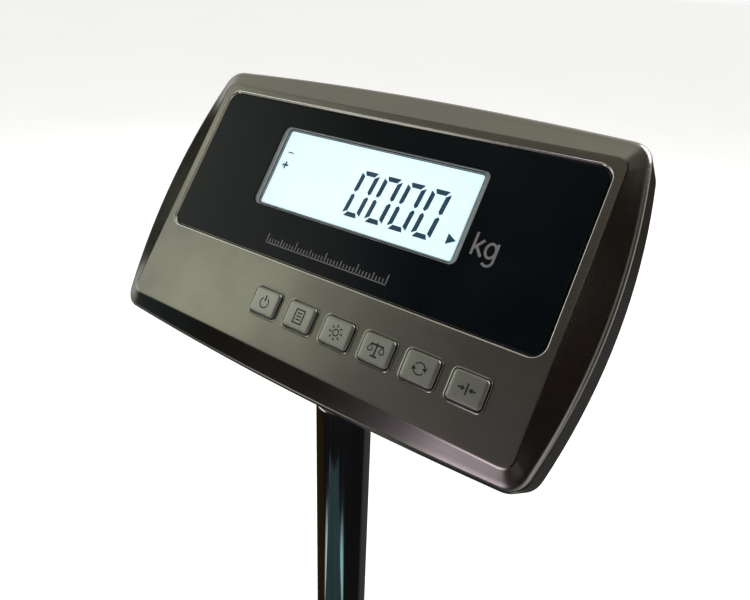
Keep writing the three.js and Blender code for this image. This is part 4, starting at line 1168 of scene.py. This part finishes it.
def foot():
    m = Mesh()
    pad = [(0, 0.9), (12, 0.9), (13, 0.0), (20.3, 0.0), (21.4, 0.35), (22.0, 1.4), (22.0, 6.2), (21.6, 7.1), (20.9, 7.6), (18.6, 10.6), (17.6, 11.6), (16.2, 12.1), (10.5, 13.6), (9.6, 14.3), (9.2, 14.5), (0, 14.5)]
    m.add(lathe(pad, 72, 0))
    for i in range(24):
        a = 2 * math.pi * i / 24
        rib = Mesh()
        ii = rib.bands([rr(1.0, 1.5, 0.4, z, 21.1 + d, 0, n=2) for z, d in ((1.6, -0.3), (2.2, 0.3), (5.4, 0.3), (6.0, -0.3))])
        rib.ngon(ii[0])
        rib.ngon(ii[-1])
        m.add(rib, Matrix.Rotation(a, 4, "Z"))
    L = m.bands([hexa(15.4, 14.52, chamfer=0.9, n=5), hexa(15.4, 15.0, n=5), hexa(15.4, 17.4, n=5), hexa(15.4, 18.0, chamfer=0.95, n=5)], 1)
    m.ngon(L[0], 1)
    m.ngon(L[-1], 1)
    th = [(0, 17.5), (4.6, 17.5), (4.6, 18.2)]
    z = 18.3
    while z < 52.4:
        th += [(4.35, z), (5.0, z + 0.62), (5.0, z + 0.88), (4.35, z + 1.5)]
        z += 1.52
    th += [(4.4, 53.4), (3.9, 54.0), (0, 54.0)]
    m.add(lathe(th, 32, 1))
    return m


for i, (x, y) in enumerate(FEET):
    make(f"foot_moulded_{i + 1}", foot(), [RUBBER, ZINC_BOLT], matrix=at(x, y, 0), body=f"leveller_{i + 1}", replaces=f"foot_{i + 1}", sharp=32)

# ---------------------------------------------------------------- load cell and top frame
CELL_Z = 66.6
refine("cell_spacer_lower", ZINC, "base", 0.4, 2)
refine("cell_spacer_upper", ZINC, "base", 0.4, 2)
refine("load_cell", ALU, "base", 0.7, 3)
cable = Mesh()
# potting over the gauges, in the cell's waist on each side
for sx in (-1, 1):
    pt = Mesh()
    ii = pt.bands([[(x_, y_, z_) for x_, y_, z_ in rr(52, 17, 4, 0, off=o, n=5)] for o in (0.0,)] + [[(x_, y_, h_) for x_, y_, z_ in rr(52, 17, 4, 0, off=o, n=5)] for h_, o in ((0.5, 0.0), (0.9, -0.5), (1.05, -1.6), (1.1, -4))])
    pt.ngon(ii[0])
    pt.ngon(ii[-1])
    make("cell_potting_" + ("right" if sx > 0 else "left"), pt, [POTTING], matrix=at(sx * 19.95, PAN_Y, CELL_Z + 12.5) @ Matrix.Rotation(math.radians(90 * sx), 4, "Y") @ Matrix.Rotation(math.radians(90), 4, "Z"), body="base", sharp=50)
for j, (x, y) in enumerate(((-9, 61), (9, 61), (-9, 46), (9, 46))):
    make(f"cell_bolt_{j + 1}", screw(5.0, 3.2, 0, 2.6, -2.0, 3.4, dome=0.3), [DARK_BOLT], matrix=at(x, PAN_Y + y, CELL_Z + 25.0), body="base", sharp=40)

TOP_Z = CELL_Z + 25 + 0.3 + 4 + 0.3
for nm, s_ in (("left", -1), ("right", 1)):
    make(f"top_rail_tube_{nm}", section_tube(25, 20, 3.5, 450, cap=False), [PAINT], matrix=at(s_ * 140, PAN_Y - 225, TOP_Z + 10) @ Matrix.Rotation(math.radians(-90), 4, "X"), body="base", replaces=f"top_rail_{nm}", sharp=34)
TX = 140 - 12.5 - 0.3
make("top_cross_tube", section_tube(20, 40, 3.5, 2 * TX, bead=((0.0, -1), (2 * TX, 1))), [PAINT], matrix=at(-TX, PAN_Y - 50, TOP_Z + 10) @ Matrix.Rotation(math.radians(90), 4, "Y"), body="base", replaces="top_crossbar", sharp=34)
for j, (x, y) in enumerate(((-9, -61), (9, -61), (-9, -46), (9, -46))):
    make(f"top_frame_bolt_{j + 1}", screw(5.4, 3.4, 0, 2.6, -2.0, 3.4, dome=0.3), [DARK_BOLT], matrix=at(x, PAN_Y + y, TOP_Z + 20.0), body="base", sharp=40)
BUMP_Z = TOP_Z + 20.3
for i, (a, b) in enumerate(((-1, -1), (1, -1), (-1, 1), (1, 1))):
    make(f"pan_bumper_fine_{i + 1}", lathe([(0, 0), (9.4, 0), (9.9, 0.3), (10, 0.9), (9.7, 4.2), (9.2, 5.4), (8.2, 5.95), (7.0, 6.0), (3.6, 6.0), (3.3, 5.6), (3.2, 3.4), (0, 3.4)], 56), [RUBBER], matrix=at(a * 140, PAN_Y + b * 200, BUMP_Z), body="base", replaces=f"pan_bumper_{i + 1}", sharp=36)

# ---------------------------------------------------------------- tread pan and mat
PAN_Z = BUMP_Z + 6.3


def pan():
    m = Mesh()
    top = PAN_Z + PAN_T
    def L(z, off, r=7.0):
        return rr(400, 500, r, z, 0, PAN_Y, off=off, n=10)
    outer = [L(70.0, -0.55), L(70.0, -0.25), L(70.25, 0.0), L(top - 3.6, 0.0)]
    for i in range(1, 7):
        t = math.pi / 2 * i / 6
        outer.append(L(top - 3.6 + 3.6 * math.sin(t), -3.6 * (1 - math.cos(t))))
    outer.append(L(top, -5.2))
    ids = m.bands(outer)
    m.ngon(ids[-1])
    inner = [L(70.0, -1.4), L(70.0, -1.75), L(70.25, -2.0), L(PAN_Z - 1.7, -2.0)]
    for i in range(1, 5):
        t = math.pi / 2 * i / 4
        inner.append(L(PAN_Z - 1.7 + 1.7 * math.sin(t), -2.0 - 1.7 * (1 - math.cos(t))))
    jj = m.bands(inner)
    m.band(ids[0], jj[0])
    m.ngon(jj[-1])
    return m


make("tread_pan_folded", pan(), [STEEL_PAN], matrix=WORLDM, body="pan", replaces="tread_pan", sharp=34)


def mat_ribbed():
    m = Mesh()
    z0 = PAN_Z + PAN_T + 0.3
    def L(z, off):
        return rr(384, 484, 10, z, 0, PAN_Y, off=off, n=10)
    ids = m.bands([L(z0, -0.5), L(z0 + 0.3, -0.1), L(z0 + 0.8, 0.0), L(z0 + 2.7, 0.0), L(z0 + 3.5, -0.35), L(z0 + 3.9, -1.1), L(z0 + 4.0, -2.0), L(z0 + 4.0, -7.0), L(z0 + 3.7, -7.5), L(z0 + 2.9, -7.8), L(z0 + 2.8, -8.4)])
    m.ngon(ids[0])
    m.ngon(ids[-1])
    y, pitch = -242 + 12.5, 7.65
    while y < 242 - 11:
        x = 182.6
        rib = []
        for (yy, zz) in ((-2.0, 2.7), (-1.75, 3.45), (-1.2, 3.88), (0, 4.0), (1.2, 3.88), (1.75, 3.45), (2.0, 2.7)):
            rib.append((yy, zz))
        a = []
        for xx, sh in ((-x, 0.55), (-x + 0.5, 0.85), (-x + 1.3, 1.0), (x - 1.3, 1.0), (x - 0.5, 0.85), (x, 0.55)):
            a.append(m.loop([(xx, PAN_Y + y + q * (0.75 + 0.25 * sh), z0 + 2.7 + (w_ - 2.7) * sh) for q, w_ in rib]))
        for k in range(len(a) - 1):
            m.band(a[k], a[k + 1], closed=False)
            m.f.append((a[k][0], a[k][-1], a[k + 1][-1], a[k + 1][0]))
            m.m.append(0)
        m.ngon(a[0])
        m.ngon(a[-1])
        y += pitch
    return m


make("tread_mat_ribbed", mat_ribbed(), [MAT_RUBBER], matrix=WORLDM, body="pan", replaces="tread_mat", sharp=40)

# ---------------------------------------------------------------- bubble level
LV = at(105, COL_Y, 62.3)
make("bubble_level_body", lathe([(0, 0), (13.6, 0), (14, 0.4), (14, 5.6), (13.8, 6.4), (13.3, 7.2), (12.2, 8.9), (11.6, 9.1), (10.1, 9.1), (9.7, 8.9), (9.5, 8.4), (9.5, 3.0), (0, 3.0)], 72), [BLACK_PLASTIC], matrix=LV, body="base", replaces="bubble_level", sharp=36)
make("bubble_level_fluid", lathe([(0, 3.1), (9.2, 3.1), (9.3, 3.3), (9.3, 6.4), (9.0, 6.6), (0, 6.75)], 56), [FLUID], matrix=LV, body="base", sharp=40)
make("bubble_level_bubble", lathe([(0, 6.78), (2.2, 6.78), (2.7, 6.95), (2.4, 7.15), (0, 7.25)], 40), [BUBBLE], matrix=LV @ at(0.9, -0.6, 0), body="base", sharp=60)
make("bubble_level_ring", lathe([(3.6, 7.34), (3.95, 7.34), (3.95, 7.42), (3.6, 7.42), (3.6, 7.34)], 56), [ICON], matrix=LV, body="base", sharp=40)
make("bubble_level_lens", lathe([(0, 7.3), (9.3, 7.3), (9.45, 7.45), (9.45, 7.8), (9.1, 8.1), (7, 8.35), (4, 8.55), (0, 8.62)], 64), [LENS], matrix=LV, body="base", sharp=50)

# ---------------------------------------------------------------- any CAD node still shown gets its finished material
BY_SLOT = {"stainless_face": STEEL_FACE_PAINTED_SHADE, "stainless_back": STEEL_BACK, "stainless_pan": STEEL_PAN, "polished_tube": TUBE, "key_metal": STEEL_KEY,
           "panel_black": PANEL, "window_clear": GLASS, "lcd_grey": LCD_GREY, "lcd_cell": LCD, "backlight": BACKLIGHT, "circuit_board": CIRCUIT,
           "battery_wrap": BATTERY, "plated_steel": ZINC, "bracket_steel": BRACKET, "fastener": BOLT, "black_plastic": BLACK_PLASTIC,
           "black_rubber": RUBBER, "frame_paint": PAINT, "cell_aluminium": ALU}
slots_of = {q["node"]: q["material_slot"] for q in frame["record"]["subparts"]}
for n_, o_ in frame["nodes"].items():
    o_.data.materials.clear()
    o_.data.materials.append(BY_SLOT[slots_of[n_]])

# ---------------------------------------------------------------- stage and light
def stage_plane():
    me = bpy.data.meshes.new("floor")
    bm = bmesh.new()
    n, R = 96, 70.0
    vs = [bm.verts.new((R * math.cos(2 * math.pi * i / n), R * math.sin(2 * math.pi * i / n), -0.0002)) for i in range(n)]
    bm.faces.new(vs)
    bm.to_mesh(me)
    bm.free()
    o = bpy.data.objects.new("floor", me)
    bpy.context.scene.collection.objects.link(o)
    m, nt, bs = mat("floor_pale")
    c = ramp(nt, noise(nt, coords(nt), 1.5, 2.0, 0.5), [(0.3, (0.88, 0.88, 0.88)), (0.7, (0.91, 0.91, 0.91))])
    nt.links.new(c, bs.inputs["Base Color"])
    bs.inputs["Roughness"].default_value = 0.9
    bs.inputs["Emission Color"].default_value = (1, 1, 1, 1)
    bs.inputs["Emission Strength"].default_value = 0.17
    me.materials.append(m)
    o.visible_glossy = False


stage_plane()


def area(name, loc, target, size, power, color=(1, 1, 1), size_y=None):
    d = bpy.data.lights.new(name, "AREA")
    d.energy, d.size, d.color = power, size, color
    if size_y:
        d.shape, d.size_y = "RECTANGLE", size_y
    o = bpy.data.objects.new(name, d)
    bpy.context.scene.collection.objects.link(o)
    o.location = loc
    o.visible_glossy = False
    o.rotation_mode = "QUATERNION"
    o.rotation_quaternion = (Vector(target) - Vector(loc)).to_track_quat("-Z", "Y")
    return o


bpy.context.scene.view_settings.view_transform = "Standard"
world = bpy.data.worlds.new("studio")
bpy.context.scene.world = world
world.use_nodes = True
wn = world.node_tree
bg = wn.nodes["Background"]
tc = node(wn, "ShaderNodeTexCoord")
DIR = tc.outputs["Generated"]


def room(stops):
    """Base tone by height: floor side to ceiling."""
    sp = node(wn, "ShaderNodeSeparateXYZ")
    wn.links.new(DIR, sp.inputs[0])
    return ramp(wn, remap(wn, sp.outputs["Z"], 0.0, 1.0, -1.0, 1.0), stops)


def soft_box(col, d, colour, inner, outer):
    """A soft bright or dark patch of the room round direction d; angles in degrees."""
    v = node(wn, "ShaderNodeVectorMath", operation="DOT_PRODUCT")
    wn.links.new(DIR, v.inputs[0])
    v.inputs[1].default_value = Vector(d).normalized()
    r = node(wn, "ShaderNodeMapRange", interpolation_type="SMOOTHSTEP", inputs={"From Min": math.cos(math.radians(outer)), "From Max": math.cos(math.radians(inner)), "To Min": 0.0, "To Max": 1.0})
    wn.links.new(v.outputs["Value"], r.inputs["Value"])
    return mixc(wn, r.outputs["Result"], col, colour)


sky = room([(0.0, (0.34, 0.34, 0.335)), (0.055, (0.30, 0.30, 0.295)), (0.092, (0.008, 0.008, 0.009)), (0.195, (0.007, 0.007, 0.008)), (0.28, (0.24, 0.24, 0.235)), (0.40, (0.50, 0.50, 0.495)), (0.56, (0.60, 0.60, 0.59)), (1.0, (0.70, 0.70, 0.68))])
# the dim side of the room, in front of the head
sky = soft_box(sky, (-0.30, -0.78, 0.42), (0.040, 0.032, 0.026), 40, 68)
sky = soft_box(sky, (0.14, -0.68, 0.74), (0.016, 0.011, 0.009), 24, 46)
# ceiling, the soft window low on the left, the dark skirting under it
sky = soft_box(sky, (-0.52, -0.02, 0.85), (0.40, 0.39, 0.335), 20, 38)
sky = soft_box(sky, (-0.80, -0.50, 0.33), (1.48, 1.56, 1.36), 3, 27)
sky = soft_box(sky, (-0.97, -0.13, 0.22), (0.016, 0.014, 0.009), 8, 16)
sky = soft_box(sky, (-0.66, -0.75, -0.04), (0.008, 0.018, 0.019), 8, 21)
sky = soft_box(sky, (-0.36, -0.80, 0.48), (0.40, 0.36, 0.38), 1, 8)
sky = soft_box(sky, (-0.22, -0.97, 0.05), (2.5, 2.2, 2.55), 2, 13.5)
sky = soft_box(sky, (-0.32, -0.92, 0.24), (1.3, 1.12, 1.18), 1, 5)
sky = soft_box(sky, (-0.07, -0.64, 0.765), (1.5, 1.4, 1.2), 1, 6)
sky = soft_box(sky, (0.20, 0.93, -0.28), (0.030, 0.026, 0.022), 16, 36)
sky = soft_box(sky, (0.62, 0.25, 0.74), (0.13, 0.12, 0.105), 18, 42)
sky = soft_box(sky, (0.93, -0.03, 0.30), (0.060, 0.055, 0.048), 14, 34)
sky = soft_box(sky, (0.38, 0.0, 0.92), (0.10, 0.092, 0.080), 12, 30)
sky = soft_box(sky, (-0.56, -0.825, 0.05), (0.010, 0.007, 0.006), 9, 16)
# small lamps that the polished lip round the panel picks up
sky = soft_box(sky, (0.62, -0.52, 0.58), (0.20, 0.18, 0.15), 4, 16)
sky = soft_box(sky, (-0.563, -0.728, -0.39), (0.75, 0.73, 0.66), 4, 11)
# what a polished column shows from below: brown, teal, grey and two thin streaks of light
sky = soft_box(sky, (-0.683, -0.12, -0.72), (0.022, 0.013, 0.005), 12, 24)
sky = soft_box(sky, (0.12, 0.683, -0.72), (0.050, 0.049, 0.047), 16, 30)
sky = soft_box(sky, (-0.3355, -0.4974, -0.80), (0.80, 0.90, 0.86), 2, 9)
sky = soft_box(sky, (0.369, -0.473, -0.80), (0.40, 0.68, 0.68), 2, 8)
lp = node(wn, "ShaderNodeLightPath")
sky = mixc(wn, lp.outputs["Is Camera Ray"], sky, (0.96, 0.96, 0.96))
wn.links.new(sky, bg.inputs["Color"])
bg.inputs["Strength"].default_value = 1.0

area("key_light", (2.4, 0.1, 2.0), (0, 0.1, 0.5), 1.2, 26, (1.0, 0.99, 0.97))
area("back_light", (-1.4, 2.5, 1.8), (0, 0.1, 0.5), 1.6, 26)
area("top_light", (1.0, 1.7, 3.0), (0, 0.1, 0.4), 1.8, 34)
sun_data = bpy.data.lights.new("sun_soft", "SUN")
sun_data.energy, sun_data.angle = 2.0, math.radians(50)
sun = bpy.data.objects.new("sun_soft", sun_data)
bpy.context.scene.collection.objects.link(sun)
sun.rotation_mode = "QUATERNION"
sun.rotation_quaternion = Vector((-0.42, -0.50, -0.76)).to_track_quat("-Z", "Y")
